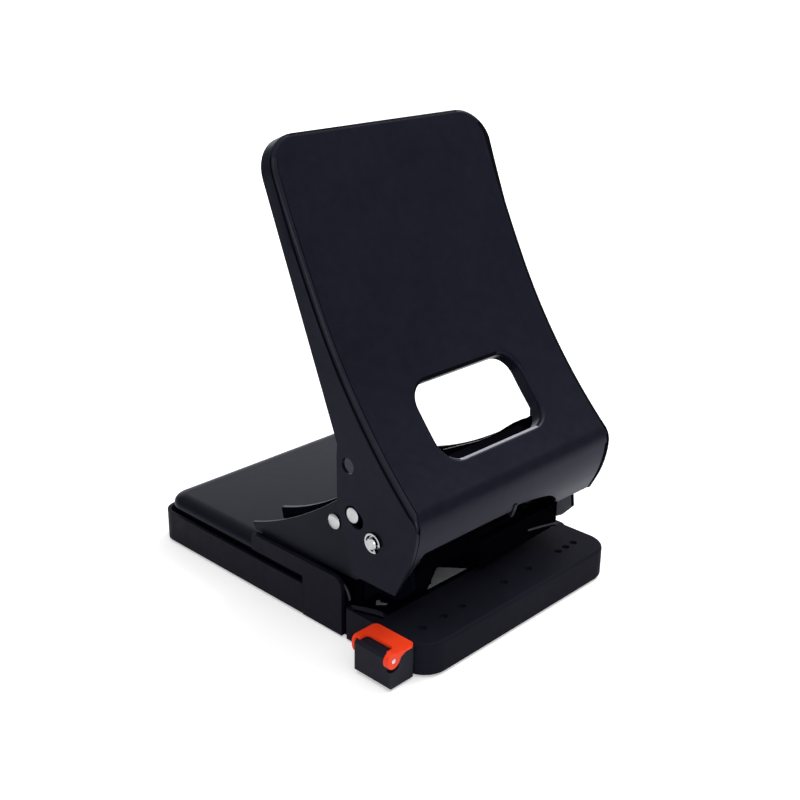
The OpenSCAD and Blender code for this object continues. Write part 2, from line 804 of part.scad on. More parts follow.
// Moulded end of the ruler, which carries the stop flap
module guide_end_block() {
    inner = half + 0.5;
    color("#2c2d35")
        difference() {
            translate([0, ruler_y + end_half, 0]) rotate([90, 0, 0]) linear_extrude(2 * end_half)
                polygon([
                    [-inner, end_low], [2.5 - end_out, end_low], [-end_out, end_low + 2],
                    [-end_out, end_top - 1], [1 - end_out, end_top], [-inner, end_top]
                ]);
            box([-half - ruler_deep, ruler_y - ruler_w / 2 - 0.1, ruler_z - 0.1],
                [-half, ruler_y + ruler_w / 2 + 0.1, ruler_z + ruler_t + 0.1]);
            y_bar(ruler_y - end_half - 1, ruler_y + end_half + 1, -flap_pin_x, flap_pin_z,
                flap_pin_r + fixed_fit);
            for (y = ruler_screw_y)
                translate([-ruler_screw_x, y, 0]) {
                    translate([0, 0, end_low - 1]) cylinder(h = 10, r = ruler_screw_r + fixed_fit);
                    translate([0, 0, end_low - 1]) cylinder(h = 2.2, r = 2.4);
                }
        }
}

// Screws that hold the end block on the ruler, from below
module ruler_screws() {
    color("#9a9ba0")
        for (y = ruler_screw_y)
            translate([-ruler_screw_x, y, end_low]) {
                cylinder(h = 8.5, r = ruler_screw_r);
                cylinder(h = 1.1, r = 2.2);
            }
}

arm_gap = 0.3;
arm_t = 1.5;

// Pin that the flap turns on, through the end block
module flap_pin() {
    reach = end_half + arm_gap + arm_t + 0.6;
    color("#c8c9cc") y_bar(ruler_y - reach, ruler_y + reach, -flap_pin_x, flap_pin_z, flap_pin_r);
}

// U-shaped stop flap, lying flat on the end block, with an arm at each end of the block
module stop_flap() {
    inner = half + 0.8;
    outer = inner + 9;
    reach = end_half + arm_gap + arm_t;
    top = flap_low + flap_t;
    eye_r = 3.7;
    arm = [
        [-inner, flap_low], [-inner, top], [1 - outer, top],
        [-flap_pin_x - eye_r * cos(50), flap_pin_z + eye_r * sin(50)],
        [-flap_pin_x + eye_r * cos(30), flap_pin_z - eye_r * sin(30)],
        [1.4 - outer, flap_low]
    ];
    color("#d83c18")
        difference() {
            union() {
                box([-outer, ruler_y - reach, flap_low], [-inner, ruler_y + reach, top]);
                for (y = [ruler_y - reach + arm_t, ruler_y + reach]) {
                    translate([0, y, 0]) rotate([90, 0, 0]) linear_extrude(arm_t) polygon(arm);
                    y_bar(y - arm_t, y, -flap_pin_x, flap_pin_z, eye_r);
                }
            }
            y_bar(ruler_y - reach - 1, ruler_y + reach + 1, -flap_pin_x, flap_pin_z,
                flap_pin_r + running_fit);
        }
}

floor_plate();
front_block();
rubber_feet();
die_plate();
die_bushes();
paper_stop();
side_foot(-1);  // side_foot_left
side_foot(1);  // side_foot_right
frame(-1);  // frame_left
frame(1);  // frame_right
cheek(-1);  // cheek_left
cheek(1);  // cheek_right
frame_screws();
guide_screws();
punch_guide();
tie_rod();
plate_spacers();
pivot_pin(-1);  // pivot_pin_left
pivot_pin(1);  // pivot_pin_right
pivot_washers();
e_clips();
rear_cover();
chip_tray();
lever_shell();
drive_bar();
punch_yoke();
punch(-1);  // punch_left
punch(1);  // punch_right
spring(-1);  // spring_left
spring(1);  // spring_right
guide_ruler();
guide_end_block();
ruler_screws();
flap_pin();
stop_flap();
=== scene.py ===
import json
from math import asin, cos, pi, radians, sin

import bpy
from mathutils import Matrix, Vector


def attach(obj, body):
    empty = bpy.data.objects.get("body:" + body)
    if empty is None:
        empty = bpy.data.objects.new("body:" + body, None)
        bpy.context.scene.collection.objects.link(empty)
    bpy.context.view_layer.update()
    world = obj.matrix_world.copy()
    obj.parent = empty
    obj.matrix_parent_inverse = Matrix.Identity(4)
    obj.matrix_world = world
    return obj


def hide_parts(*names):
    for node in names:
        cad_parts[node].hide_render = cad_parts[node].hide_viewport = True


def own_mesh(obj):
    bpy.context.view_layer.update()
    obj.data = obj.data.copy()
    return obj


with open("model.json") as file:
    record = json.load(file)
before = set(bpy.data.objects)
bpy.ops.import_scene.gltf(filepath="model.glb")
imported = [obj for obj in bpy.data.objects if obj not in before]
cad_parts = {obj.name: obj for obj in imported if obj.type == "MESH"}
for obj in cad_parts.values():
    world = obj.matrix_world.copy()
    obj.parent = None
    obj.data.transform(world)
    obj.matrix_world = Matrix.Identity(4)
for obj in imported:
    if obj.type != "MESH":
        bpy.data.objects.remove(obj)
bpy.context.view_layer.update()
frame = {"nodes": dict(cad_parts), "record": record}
nodes = frame["nodes"]
mm = 0.001
print("frame:", len(nodes), "nodes")


# ways of working that all the pieces share

def hold(obj):
    bpy.ops.object.select_all(action="DESELECT")
    obj.select_set(True)
    bpy.context.view_layer.objects.active = obj


def named(name):
    obj = bpy.context.object
    obj.name = name
    obj.data.name = name
    return obj


def added(name, data):
    obj = bpy.data.objects.new(name, data)
    bpy.context.scene.collection.objects.link(obj)
    return obj


def done():
    bpy.ops.object.mode_set(mode="OBJECT")


def pickAll(obj):
    hold(obj)
    bpy.ops.object.mode_set(mode="EDIT")
    bpy.ops.mesh.select_all(action="SELECT")


def pick(obj, level, test):  # selects the parts of a mesh that pass a test and stays in edit mode
    pickAll(obj)
    bpy.ops.mesh.select_mode(type=level)
    bpy.ops.mesh.select_all(action="DESELECT")
    done()
    mesh = obj.data
    for item in {"VERT": mesh.vertices, "EDGE": mesh.edges, "FACE": mesh.polygons}[level]:
        item.select = test(item)
    bpy.ops.object.mode_set(mode="EDIT")


def edgeEnds(obj, edge):
    return (obj.data.vertices[i].co / mm for i in edge.vertices)


def applied(obj, kind, **values):
    hold(obj)
    modifier = obj.modifiers.new(kind.lower(), kind)
    for key, value in values.items():
        setattr(modifier, key, value)
    bpy.ops.object.modifier_apply(modifier=modifier.name)


def closeUp(obj):  # merges doubles and turns the faces outwards
    pickAll(obj)
    bpy.ops.mesh.remove_doubles(threshold=0.000002)
    bpy.ops.mesh.normals_make_consistent()
    done()


def smooth(obj):
    hold(obj)
    bpy.ops.object.shade_smooth_by_angle(angle=radians(38))


def evenShade(obj):
    smooth(obj)
    applied(obj, "WEIGHTED_NORMAL", weight=90, keep_sharp=True)


def soften(obj, width, segments=2, angle=40):  # rounds the edges sharper than an angle
    applied(obj, "BEVEL", width=width * mm, segments=segments,
            limit_method="ANGLE", angle_limit=radians(angle))
    evenShade(obj)


def combine(obj, operation, others):
    for other in others:
        applied(obj, "BOOLEAN", object=other, operation=operation, solver="EXACT")
        bpy.data.objects.remove(other)


def carve(obj, *cutters):
    combine(obj, "DIFFERENCE", cutters)


def fuse(obj, *parts):
    combine(obj, "UNION", parts)


def joined(first, *others):
    hold(first)
    for obj in others:
        obj.select_set(True)
    bpy.ops.object.join()
    return first


def slit(obj, place, way):  # adds a line of edges all round a mesh
    pickAll(obj)
    bpy.ops.mesh.bisect(plane_co=Vector(place) * mm, plane_no=way)
    done()


def along(axis, a, b, c):  # two places in a flat outline and one along its axis, as a point
    return Vector({"X": (c, a, b), "Y": (a, c, b), "Z": (a, b, c)}[axis]) * mm


def flatShape(name, outline, axis, level):  # one flat face
    bpy.ops.mesh.primitive_circle_add(vertices=len(outline), radius=0.01, fill_type="NGON")
    obj = named(name)
    for vertex, (a, b) in zip(obj.data.vertices, outline):
        vertex.co = along(axis, a, b, level)
    return obj


def plate(name, outline, axis, low, high):  # a flat outline given a thickness
    obj = flatShape(name, outline, axis, low)
    pickAll(obj)
    bpy.ops.mesh.extrude_region_move(TRANSFORM_OT_translate={"value": along(axis, 0, 0, high - low)})
    done()
    closeUp(obj)
    return obj


def block(name, low, high):
    low, high = Vector(low) * mm, Vector(high) * mm
    bpy.ops.mesh.primitive_cube_add(size=1, location=(low + high) / 2, scale=high - low)
    obj = named(name)
    bpy.ops.object.transform_apply()
    return obj


def turned(name, profile, axis, centre, steps):  # spins (radius, along) pairs round an axis
    bpy.ops.mesh.primitive_circle_add(vertices=len(profile), radius=0.01)
    obj = named(name)
    way = Vector([float(axis == letter) for letter in "XYZ"])
    out = Vector((1, 0, 0) if axis == "Z" else (0, 0, 1))
    middle = Vector(centre) * mm
    for vertex, (radius, height) in zip(obj.data.vertices, profile):
        vertex.co = middle + way * height * mm + out * radius * mm
    ends = {0, len(profile) - 1}  # the edge along the axis comes out
    pick(obj, "EDGE", lambda edge: set(edge.vertices) == ends)
    bpy.ops.mesh.delete(type="EDGE")
    done()
    pickAll(obj)
    bpy.ops.mesh.spin(steps=steps, angle=2 * pi, center=middle, axis=way)
    done()
    closeUp(obj)
    smooth(obj)
    return obj


def wrapped(name, columns, rows, place, coat=None):  # a grid whose points are laid on a surface
    bpy.ops.mesh.primitive_grid_add(x_subdivisions=columns, y_subdivisions=rows, size=2)
    obj = named(name)
    if coat:
        for face in obj.data.polygons:
            i = int((face.center.x + 1) / 2 * columns)
            j = int((face.center.y + 1) / 2 * rows)
            face.material_index = coat(i, j)
    for vertex in obj.data.vertices:
        i = round((vertex.co.x + 1) / 2 * columns)
        j = round((vertex.co.y + 1) / 2 * rows)
        vertex.co = Vector(place(i, j)) * mm
    return obj


def coated(obj, *coats):
    for coat in coats:
        obj.data.materials.append(bpy.data.materials.get(coat) or bpy.data.materials.new(coat))


def painted(obj, choose):  # gives each face a coat, by its place and normal
    for face in obj.data.polygons:
        face.material_index = choose(face.center / mm, face.normal)


def twin(obj, name):  # the mirror image across the middle, with its own mesh
    hold(obj)
    bpy.ops.object.duplicate()
    copy = named(name)
    copy.scale.x = -1
    bpy.ops.object.transform_apply()
    pickAll(copy)
    bpy.ops.mesh.normals_make_consistent()
    done()
    bpy.ops.mesh.customdata_custom_splitnormals_clear()
    evenShade(copy)
    return copy


def spread(start, end, steps):  # evenly spaced values without the last
    return [start + (end - start) * i / steps for i in range(steps)]


def arcPoints(centre, radius, start, end, steps):
    angles = [radians(a) for a in spread(start, end, steps) + [end]]
    return [(centre[0] + radius * cos(a), centre[1] + radius * sin(a)) for a in angles]


def ringPoints(centre, radius, steps=35):
    return arcPoints(centre, radius, 0, 350, steps)


def bowPoints(p, q, s, steps):  # a smooth bow from p to s that leans towards q
    spots = [i / steps for i in range(steps + 1)]
    return [tuple((1 - t) ** 2 * p[k] + 2 * t * (1 - t) * q[k] + t * t * s[k] for k in (0, 1)) for t in spots]


def settle(obj, body, slot, *replaced):
    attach(obj, body)
    if replaced:
        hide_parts(*replaced)
    if not obj.data.materials:
        coated(obj, slot)


# lever: one pressed sheet with a rolled window, folded sides, a lip and two flanges

lever = {
    "halfWidth": 65, "sheet": 1.6, "fold": 4, "corner": 15.4, "rim": 7.6, "top": 209.7,
    "crease": (-80.8, 73.9), "leanLow": 46, "leanMid": 27.8, "leanLip": -3, "leanTip": -17.2, "leanEnd": -27,
    "lowerRadius": 276, "upperRadius": 754, "creaseRadius": 9.5, "lipRadius": 50,
    "rightBead": 3.0, "beadRun": 4, "plainFrom": 46, "plainRun": 30, "coatTop": 9.5, "dartEnd": 0.9,
    "window": (67, 35.6), "windowCorner": 10, "windowLean": 39.6, "roll": 1.9, "rollDepth": 6.6,
    "rear": [(-38.3, 91.8), (-38.3, 65.6), (-47, 34)], "low": 34, "tongueHeel": (-64, 36.6),
    "pivot": (-60, 53.8), "pivotHole": 3.05, "openHole": ((-44.8, 83.1), 3.5),
    "slotReach": (12.0, 15.29), "slotLean": 32.3, "slotRadius": 4,
    "lipHalf": 62.9, "lipFrom": -57, "tongue": 40.5, "round": 0.3,
    "tab": (-2.2, -0.2), "tabDown": (-2.5, 0, 2.5, 4.4), "tabDepth": (-0.5, 1.2),
    "lipDark": (62, 66.6), "flangeDark": (63.3, 76),  # painted shade on the right edge, as its inner side and its top
    # how far the lip reaches below its plain edge, along its width
    "lipEdge": [
        (-57, 0), (-20, 0.3), (-3, 0.7), (-0.4, 0.6), (0.4, -1.4), (6.6, -0.85), (13.5, 0.45), (21.6, 2.25),
        (26, 3.6), (30, 6), (33.9, 9.2), (36.4, 12.2), (37.4, 13.1), (44.6, 13.5), (52.9, 14.1),
        (62.9, 14.5)],
    # the beads along the sides and the plain top edge, as (out, back) from the rim of the flat face
    "bead": [
        (0, 0), (1.15, 0.02), (1.4, 0.26), (1.7, 0.24), (2.1, 0.42), (2.6, 0.78), (3.0, 1.22), (3.4, 1.75),
        (3.45, 2.3), (3.6, 2.75), (4, 3.1)],
    "plain": [
        (0, 0), (1.15, 0), (1.5, 0), (2.2, 0), (2.81, 0.06), (3.2, 0.21), (3.53, 0.47), (3.79, 0.8),
        (3.95, 1.19), (4, 1.6), (4, 3.1)],
}
across, sideSteps, cornerSteps, creaseSteps, lipSteps = 112, 48, 10, 8, 14
fold, flat, dartEnd = lever["fold"], lever["halfWidth"] - lever["fold"], lever["dartEnd"]
beadRows, beadBack = len(lever["bead"]), lever["bead"][-1][1]
leverCoats = ("lever_coat", "painted_fold_shade", "fold_band", "painted_highlight", "painted_shade")
plainCoat, foldShadeCoat, bandCoat, highlightCoat, shadeCoat = range(len(leverCoats))


def leverStations():  # the four bends of the face from its top to its lip, and its whole length
    d = lever
    low, mid = radians(d["leanLow"]), radians(d["leanMid"])
    midY = d["crease"][0] + d["lowerRadius"] * (cos(mid) - cos(low))
    midZ = d["crease"][1] + d["lowerRadius"] * (sin(low) - sin(mid))
    top = asin(sin(mid) - (d["top"] - midZ) / d["upperRadius"])
    topY = midY + d["upperRadius"] * (cos(top) - cos(mid))
    lip, end = radians(d["leanLip"]), radians(d["leanEnd"])
    runs = [(top, mid, d["upperRadius"], 1), (mid, low, d["lowerRadius"], 1),
            (low, lip, d["creaseRadius"], -1), (lip, end, d["lipRadius"], -1)]
    found, y, z, s = [], topY, d["top"], 0.0
    for first, last, radius, way in runs:
        found.append((s, y, z, first, radius, way))
        s += abs(last - first) * radius
        y += way * radius * (cos(last) - cos(first))
        z += way * radius * (sin(first) - sin(last))
    return found, s


stations, leverLength = leverStations()
creaseStart, lipStart = stations[2][0], stations[3][0]
tipPlace = lipStart + lever["lipRadius"] * radians(lever["leanLip"] - lever["leanTip"])
windowPlace = stations[1][0] + lever["lowerRadius"] * radians(lever["windowLean"] - lever["leanMid"])


def leverLine(s):  # place and lean of the lever's outer face, s below its top
    over = max(s - leverLength, 0)
    begin, y, z, lean, radius, way = [st for st in stations if st[0] <= max(s, 0) + 1e-9][-1]
    a = lean + way * (s - over - begin) / radius
    y, z = y + way * radius * (cos(a) - cos(lean)), z + way * radius * (sin(lean) - sin(a))
    return y - over * sin(a), z - over * cos(a), a


def onLever(x, s, depth):
    y, z, lean = leverLine(s)
    return x, y + depth * cos(lean), z - depth * sin(lean)


def creasePlace(i):  # distance below the top along the bend above the lip
    return creaseStart + (lipStart - creaseStart) * i / creaseSteps


tonguePlace = leverLength + (leverLine(leverLength)[1] - lever["tongue"]) / cos(radians(lever["leanEnd"]))


def lipEnd(x):  # how far down the lip reaches at x
    d = lever
    if x < d["lipFrom"]:
        share = (d["lipFrom"] - x) / (d["lipFrom"] + d["lipHalf"])
        return tipPlace + (tonguePlace - tipPlace) * share ** 2
    for (a, low), (b, high) in zip(d["lipEdge"], d["lipEdge"][1:]):
        if x <= b:
            break
    return tipPlace + low + (high - low) * min((x - a) / (b - a), 1)


def flangeDepth(s):  # how far the flange reaches behind the face at s
    line = [onLever(0, 0, lever["rim"])[1:]] + lever["rear"]
    y, z, lean = leverLine(s)
    dy, dz = cos(lean), -sin(lean)
    hits = []
    for (ay, az), (by, bz) in zip(line, line[1:]):
        ey, ez = by - ay, bz - az
        cross = dy * ez - dz * ey
        t = ((ay - y) * ez - (az - z) * ey) / cross
        u = ((ay - y) * dz - (az - z) * dy) / cross
        if t > 0 and -0.02 <= u <= 1.02:
            hits.append(t)
    return min(hits)


def bend(x, s, r, start, end, steps):  # round a corner, as x, distance down and the way out
    angles = [radians(a) for a in spread(start, end, steps)]
    return [(x + r * cos(a), s - r * sin(a), cos(a), -sin(a)) for a in angles]


def straight(x0, s0, x1, s1, out, steps):
    return [(x, s, *out) for x, s in zip(spread(x0, x1, steps), spread(s0, s1, steps))]


def faceOutline():  # round the flat face from its lower left
    low, high = creaseStart, lever["corner"]
    r = high - fold
    points = straight(-flat, low, flat, low, (0, 0), across)
    points += straight(flat, low, flat, high, (1, 0), sideSteps)
    points += bend(flat - r, high, r, 0, 90, cornerSteps)
    points += straight(flat - r, fold, r - flat, fold, (0, -1), across)
    points += bend(r - flat, high, r, 90, 180, cornerSteps)
    return points + straight(-flat, high, -flat, low, (-1, 0), sideSteps)


def windowOutline():  # round the window where its roll begins, with a point for each one of the face
    d = lever
    halfW, halfL = (size / 2 + d["roll"] for size in d["window"])
    r, half = d["windowCorner"] + d["roll"], 6
    low, high = windowPlace + halfL, windowPlace - halfL
    left, right, lower, upper = r - halfW, halfW - r, low - r, high + r
    points = bend(left, lower, r, 225, 270, half)
    points += straight(left, low, right, low, (0, 1), across - 2 * half)
    points += bend(right, lower, r, 270, 360, 2 * half)
    points += straight(halfW, lower, halfW, upper, (1, 0), sideSteps - half)
    points += bend(right, upper, r, 0, 90, cornerSteps)
    points += straight(right, high, left, high, (0, -1), across)
    points += bend(left, upper, r, 90, 180, cornerSteps)
    points += straight(-halfW, upper, -halfW, lower, (-1, 0), sideSteps - half)
    return points + bend(left, lower, r, 180, 225, half)


def leverFace(outline, hole):
    count, rings, crowding = len(outline), 20, 1.15  # the rings lie closer together beside the window

    def place(i, j):
        (x0, s0), (x1, s1) = hole[i % count][:2], outline[i % count][:2]
        t = (j / rings) ** crowding
        return onLever(x0 + (x1 - x0) * t, s0 + (s1 - s0) * t, 0)

    return wrapped("lever", count, rings, place)


def windowRoll(hole):
    count, steps = len(hole), 8
    roll, deep = lever["roll"], lever["rollDepth"]

    def place(i, j):
        x, s, wayX, wayS = hole[i % count]
        a = pi / 2 * min(j / steps, 1)
        back = roll * sin(a)
        return onLever(x - wayX * back, s - wayS * back, roll * (1 - cos(a)) if j <= steps else deep)

    def coat(i, j):  # painted highlight along the lower edge, painted shade along the upper and left ones
        if i < across:
            return highlightCoat if 1 < j < 6 and 3 < i < across - 5 else plainCoat
        return foldShadeCoat if 0 < j < 5 and i >= across + sideSteps + cornerSteps else plainCoat

    return wrapped("roll", count, steps + 1, place, coat)


def beadCoat(j):  # painted shade lines on both sides of a band, the band itself in a shinier coat for a painted sheen
    return foldShadeCoat if j in (1, 7, 8) else bandCoat if 1 < j < 7 else plainCoat


def foldedEdge(outline):  # the side beads and the plain top edge, with what is behind them
    d = lever
    edge = [(flat, creaseStart, 1, 0)] + outline[across + 1:] + [(-flat, creaseStart, -1, 0)]

    def place(i, j):
        x, s, wayX, wayS = edge[i]
        plain = min(max((d["plainFrom"] - s) / d["plainRun"], 0), 1)
        if j < beadRows:
            (a, b), (e, f) = d["bead"][j], d["plain"][j]
            out, back = a + (e - a) * plain, b + (f - b) * plain
            wide = d["rightBead"] * max(wayX, 0) ** 2 * out / fold  # the right bead stands further out
            return onLever(x + wayX * out + wide, s + wayS * out, back)
        s += wayS * fold
        deep = flangeDepth(s)
        if j == beadRows:
            deep = beadBack + min(d["beadRun"], (deep - beadBack) / 2)
        return onLever(x + wayX * fold, s, deep)

    def coat(i, j):
        _, down, way, _ = edge[i]
        # painted shade: a line along the top edge, the whole right bead, and lines beside the band of the
        # left bead
        if abs(way) < 0.1:
            return foldShadeCoat if 3 < j < beadRows - 1 else plainCoat
        if down < d["coatTop"]:
            return plainCoat
        if way > 0:
            return foldShadeCoat if 1 < j < beadRows else plainCoat
        return beadCoat(j)

    return wrapped("fold", len(edge) - 1, beadRows + 1, place, coat)


def foldEnd(way):  # the fold closes to a point beside the bend of the lip
    def place(i, j):
        left, s = 1 - dartEnd * i / creaseSteps, creasePlace(i)
        if j == beadRows:
            return onLever(way * (flat + fold), s, beadBack * left + lever["beadRun"])
        out, back = lever["bead"][j]
        wide = lever["rightBead"] * max(way, 0) * out / fold * left
        return onLever(way * (flat + fold - (fold - out) * left) + wide, s, back * left)

    return wrapped("dart", creaseSteps, beadRows, place, lambda i, j: beadCoat(j))


def frontLip():
    def place(i, j):
        half = min(flat + fold * dartEnd * min(j / creaseSteps, 1), lever["lipHalf"])
        x = (2 * i / across - 1) * half
        if j <= creaseSteps:
            return onLever(x, creasePlace(j), 0)
        return onLever(x, lipStart + (lipEnd(x) - lipStart) * (j - creaseSteps) / lipSteps, 0)

    return wrapped("lip", across, creaseSteps + lipSteps, place)


def lowerFlange(way):  # the part of a flange beside the lip
    d = lever
    edgeSteps = 16
    left = [1 - dartEnd * i / creaseSteps for i in range(creaseSteps + 1)]
    shape = [onLever(0, creasePlace(i), beadBack * share + d["beadRun"])[1:] for i, share in enumerate(left)]
    shape.append(onLever(0, lipStart, beadBack * (1 - dartEnd))[1:])
    for i in range(1, edgeSteps + 1):
        shape.append(leverLine(lipStart + (leverLength - lipStart) * i / edgeSteps)[:2])
    endY, endZ, endLean = leverLine(leverLength)
    if way < 0:
        shape.append((endY + (endZ - d["low"]) * sin(-endLean) / cos(endLean), d["low"]))
    else:
        shape += [leverLine(tonguePlace)[:2], d["tongueHeel"]]
    shape += [d["rear"][-1], onLever(0, creaseStart, flangeDepth(creaseStart))[1:]]
    obj = flatShape("flange", shape, "X", way * d["halfWidth"])
    obj.data.vertices[creaseSteps + 1].co.x += d["rightBead"] * max(way, 0) * (1 - dartEnd) * mm
    return obj


def leverCutters():  # pivot hole, open hole and the slot of the drive bar, through both flanges
    d = lever
    (py, pz), lean = d["pivot"], d["slotLean"]
    a = radians(lean)
    near, far = ((py + reach * cos(a), pz + reach * sin(a)) for reach in d["slotReach"])
    slot = arcPoints(far, d["slotRadius"], lean - 90, lean + 90, 14)
    slot += arcPoints(near, d["slotRadius"], lean + 90, lean + 270, 14)
    through = d["halfWidth"] + 5
    lines = (ringPoints(d["pivot"], d["pivotHole"]), ringPoints(*d["openHole"]), slot)
    return [plate("cut", line, "X", -through, through) for line in lines]


def leverSheet():
    d = lever
    outline, hole = faceOutline(), windowOutline()
    parts = [leverFace(outline, hole), windowRoll(hole), foldedEdge(outline), frontLip()]
    parts += [foldEnd(way) for way in (-1, 1)] + [lowerFlange(way) for way in (-1, 1)]
    for part in parts:
        coated(part, *leverCoats)
    obj = joined(*parts)
    closeUp(obj)
    middle = [f.normal.y for f in obj.data.polygons if abs(f.center.x) < 40 * mm and f.center.z > 130 * mm]
    if sum(middle) > 0:  # the face has to look forwards
        pickAll(obj)
        bpy.ops.mesh.flip_normals()
        done()
    applied(obj, "SOLIDIFY", thickness=d["sheet"] * mm, use_even_offset=True)
    carve(obj, *leverCutters())
    # small tab where the notch begins
    front, back = d["tabDepth"]
    tabLine = [onLever(0, tipPlace + down, front)[1:] for down in d["tabDown"]]
    tabLine += [onLever(0, tipPlace + down, back)[1:] for down in reversed(d["tabDown"])]
    tab = plate("tab", tabLine, "X", *d["tab"])
    coated(tab, *leverCoats)
    obj = joined(obj, tab)
    soften(obj, d["round"], 2, 50)
    for face in obj.data.polygons:  # painted shade on the front edge of the right flange, with the end of the lip
        x, _, z = face.center / mm
        dark = any(x > inside and z < top for inside, top in (d["lipDark"], d["flangeDark"]))
        if dark and face.normal.y < -0.3:
            face.material_index = shadeCoat
    settle(obj, "lever", "lever_coat", "lever_shell")


leverSheet()
print("lever made")


# front block: moulded table with its marks, a channel for the paper guide and a notch for the die

table = {
    "size": ((-65, -90, 1), (65, -43.2, 16)), "frontCorner": 12, "rearCorner": 0.8, "edge": 1.6,
    "lowEdge": 0.8, "armFrom": -62.5, "notch": (56.5, -60), "channel": ((-70, -82.6, 4.7), (59, -64.4, 7.8)),
    "armInside": [(-56.4, -57), (-57, -53.5), (-58.6, -49.1), (-60.2, -45.9), (-61.7, -43.2)],
    "rim": [(-63, -46.3), (-61.4, -50.8), (-60.1, -54.3), (-58.6, -59.8)],
    "groove": [(-60.2, -60.9), (-60.9, -57.4), (-62.5, -53.1), (-64.3, -47.8)],
    "rimRoot": 0.3, "rimHeight": 0.15, "grooveHeight": 0.05, "round": 0.35,
    "marks": [-53, -40, -28.5, 0, 17.5, 40, 46, 52], "markRow": -76.8, "markRadius": 1.75, "markDepth": 1.6,
}
# the rims get a painted highlight and the grooves painted shade
tableCoats = ("table_coat", "moulding", "painted_rim_light", "painted_shade")


def tablePlan():  # rounded front corners, two arms to the rear and the notch for the die between them
    d = table
    (x0, y0, _), (x1, y1, _) = d["size"]
    notchX, notchY = d["notch"]
    r, q = d["frontCorner"], d["rearCorner"]
    plan = arcPoints((x0 + r, y0 + r), r, 180, 270, 12) + arcPoints((x1 - r, y0 + r), r, 270, 360, 12)
    plan += [(x1, notchY)] + arcPoints((x1 - q, y1 - q), q, 0, 90, 6)
    plan += [(-x, y) for x, y in reversed(d["armInside"])]
    plan += [(notchX, notchY), (-notchX, notchY)] + d["armInside"]
    return plan + arcPoints((x0 + q, y1 - q), q, 90, 180, 6) + [(x0, notchY)]


def tableMarks(level):  # cutters for the row of dimples
    d = table
    r, deep = d["markRadius"], d["markDepth"]
    dimple = [(0, -deep), (r * 0.7, -deep), (r * 0.95, -deep * 0.8), (r, -0.15)]
    dimple += [(r + 0.2, 0.05), (r + 0.2, 1), (0, 1)]
    return [turned("mark", dimple, "Z", (x, d["markRow"], level), 20) for x in d["marks"]]


def armRims(level):  # each arm carries a rim along its inner edge, with a painted highlight, and a groove beside it in painted shade
    d = table
    rims = []
    for side in (1, -1):
        lines = (d[key] for key in ("armInside", "rim", "groove"))
        inside, middle, outside = ([(side * x, y) for x, y in line] for line in lines)
        rims.append(plate("rim", inside + middle, "Z", level - d["rimRoot"], level + d["rimHeight"]))
        rims.append(plate("groove", middle + outside, "Z", level - d["rimRoot"], level + d["grooveHeight"]))
    for i, rim in enumerate(rims):
        coated(rim, *tableCoats)
        painted(rim, lambda c, n: 2 + i % 2)
    return rims


def frontTable():
    d = table
    (_, _, low), (side, _, top) = d["size"]
    armFrom, notchY = d["armFrom"], d["notch"][1]
    obj = plate("table", tablePlan(), "Z", low, top)
    for y in (notchY, armFrom):
        slit(obj, (0, y, 0), (0, 1, 0))
    for level, width, segments in ((top, d["edge"], 7), (low, d["lowEdge"], 2)):
        def outer(edge):  # the outer edge at this level, as far back as the arms
            a, b = edgeEnds(obj, edge)
            atLevel = max(abs(a.z - level), abs(b.z - level)) < 0.1
            crossing = abs(a.y - b.y) < 0.1 and abs(a.y - armFrom) < 0.1
            return atLevel and max(a.y, b.y) < armFrom + 0.1 and not crossing

        pick(obj, "EDGE", outer)
        bpy.ops.mesh.bevel(offset=width * mm, segments=segments, affect="EDGES")
        done()
    closeUp(obj)
    carve(obj, block("channel", *d["channel"]), *tableMarks(top))
    soften(obj, d["round"], 2, 48)
    coated(obj, *tableCoats)
    painted(obj, lambda c, n: int(c.y > armFrom and (abs(c.x) > side - 0.5 or c.y > notchY)))
    obj = joined(obj, *armRims(top))
    settle(obj, "base", "moulding", "front_block")


frontTable()
print("table made")


# rear cover: pressed sheet with rolled edges and a flat tongue under the lever

cover = {
    "half": 64.5, "front": 19.3, "spare": 30, "rear": 85.5, "corner": 10, "low": 20.4, "top": 26,
    "edge": (7, 4.4), "sheet": 1.2, "tongue": ((-62.6, -15.4, 24.8), (62.6, 19.6, 26)), "tongueShade": 56,
    "round": 0.3,
}


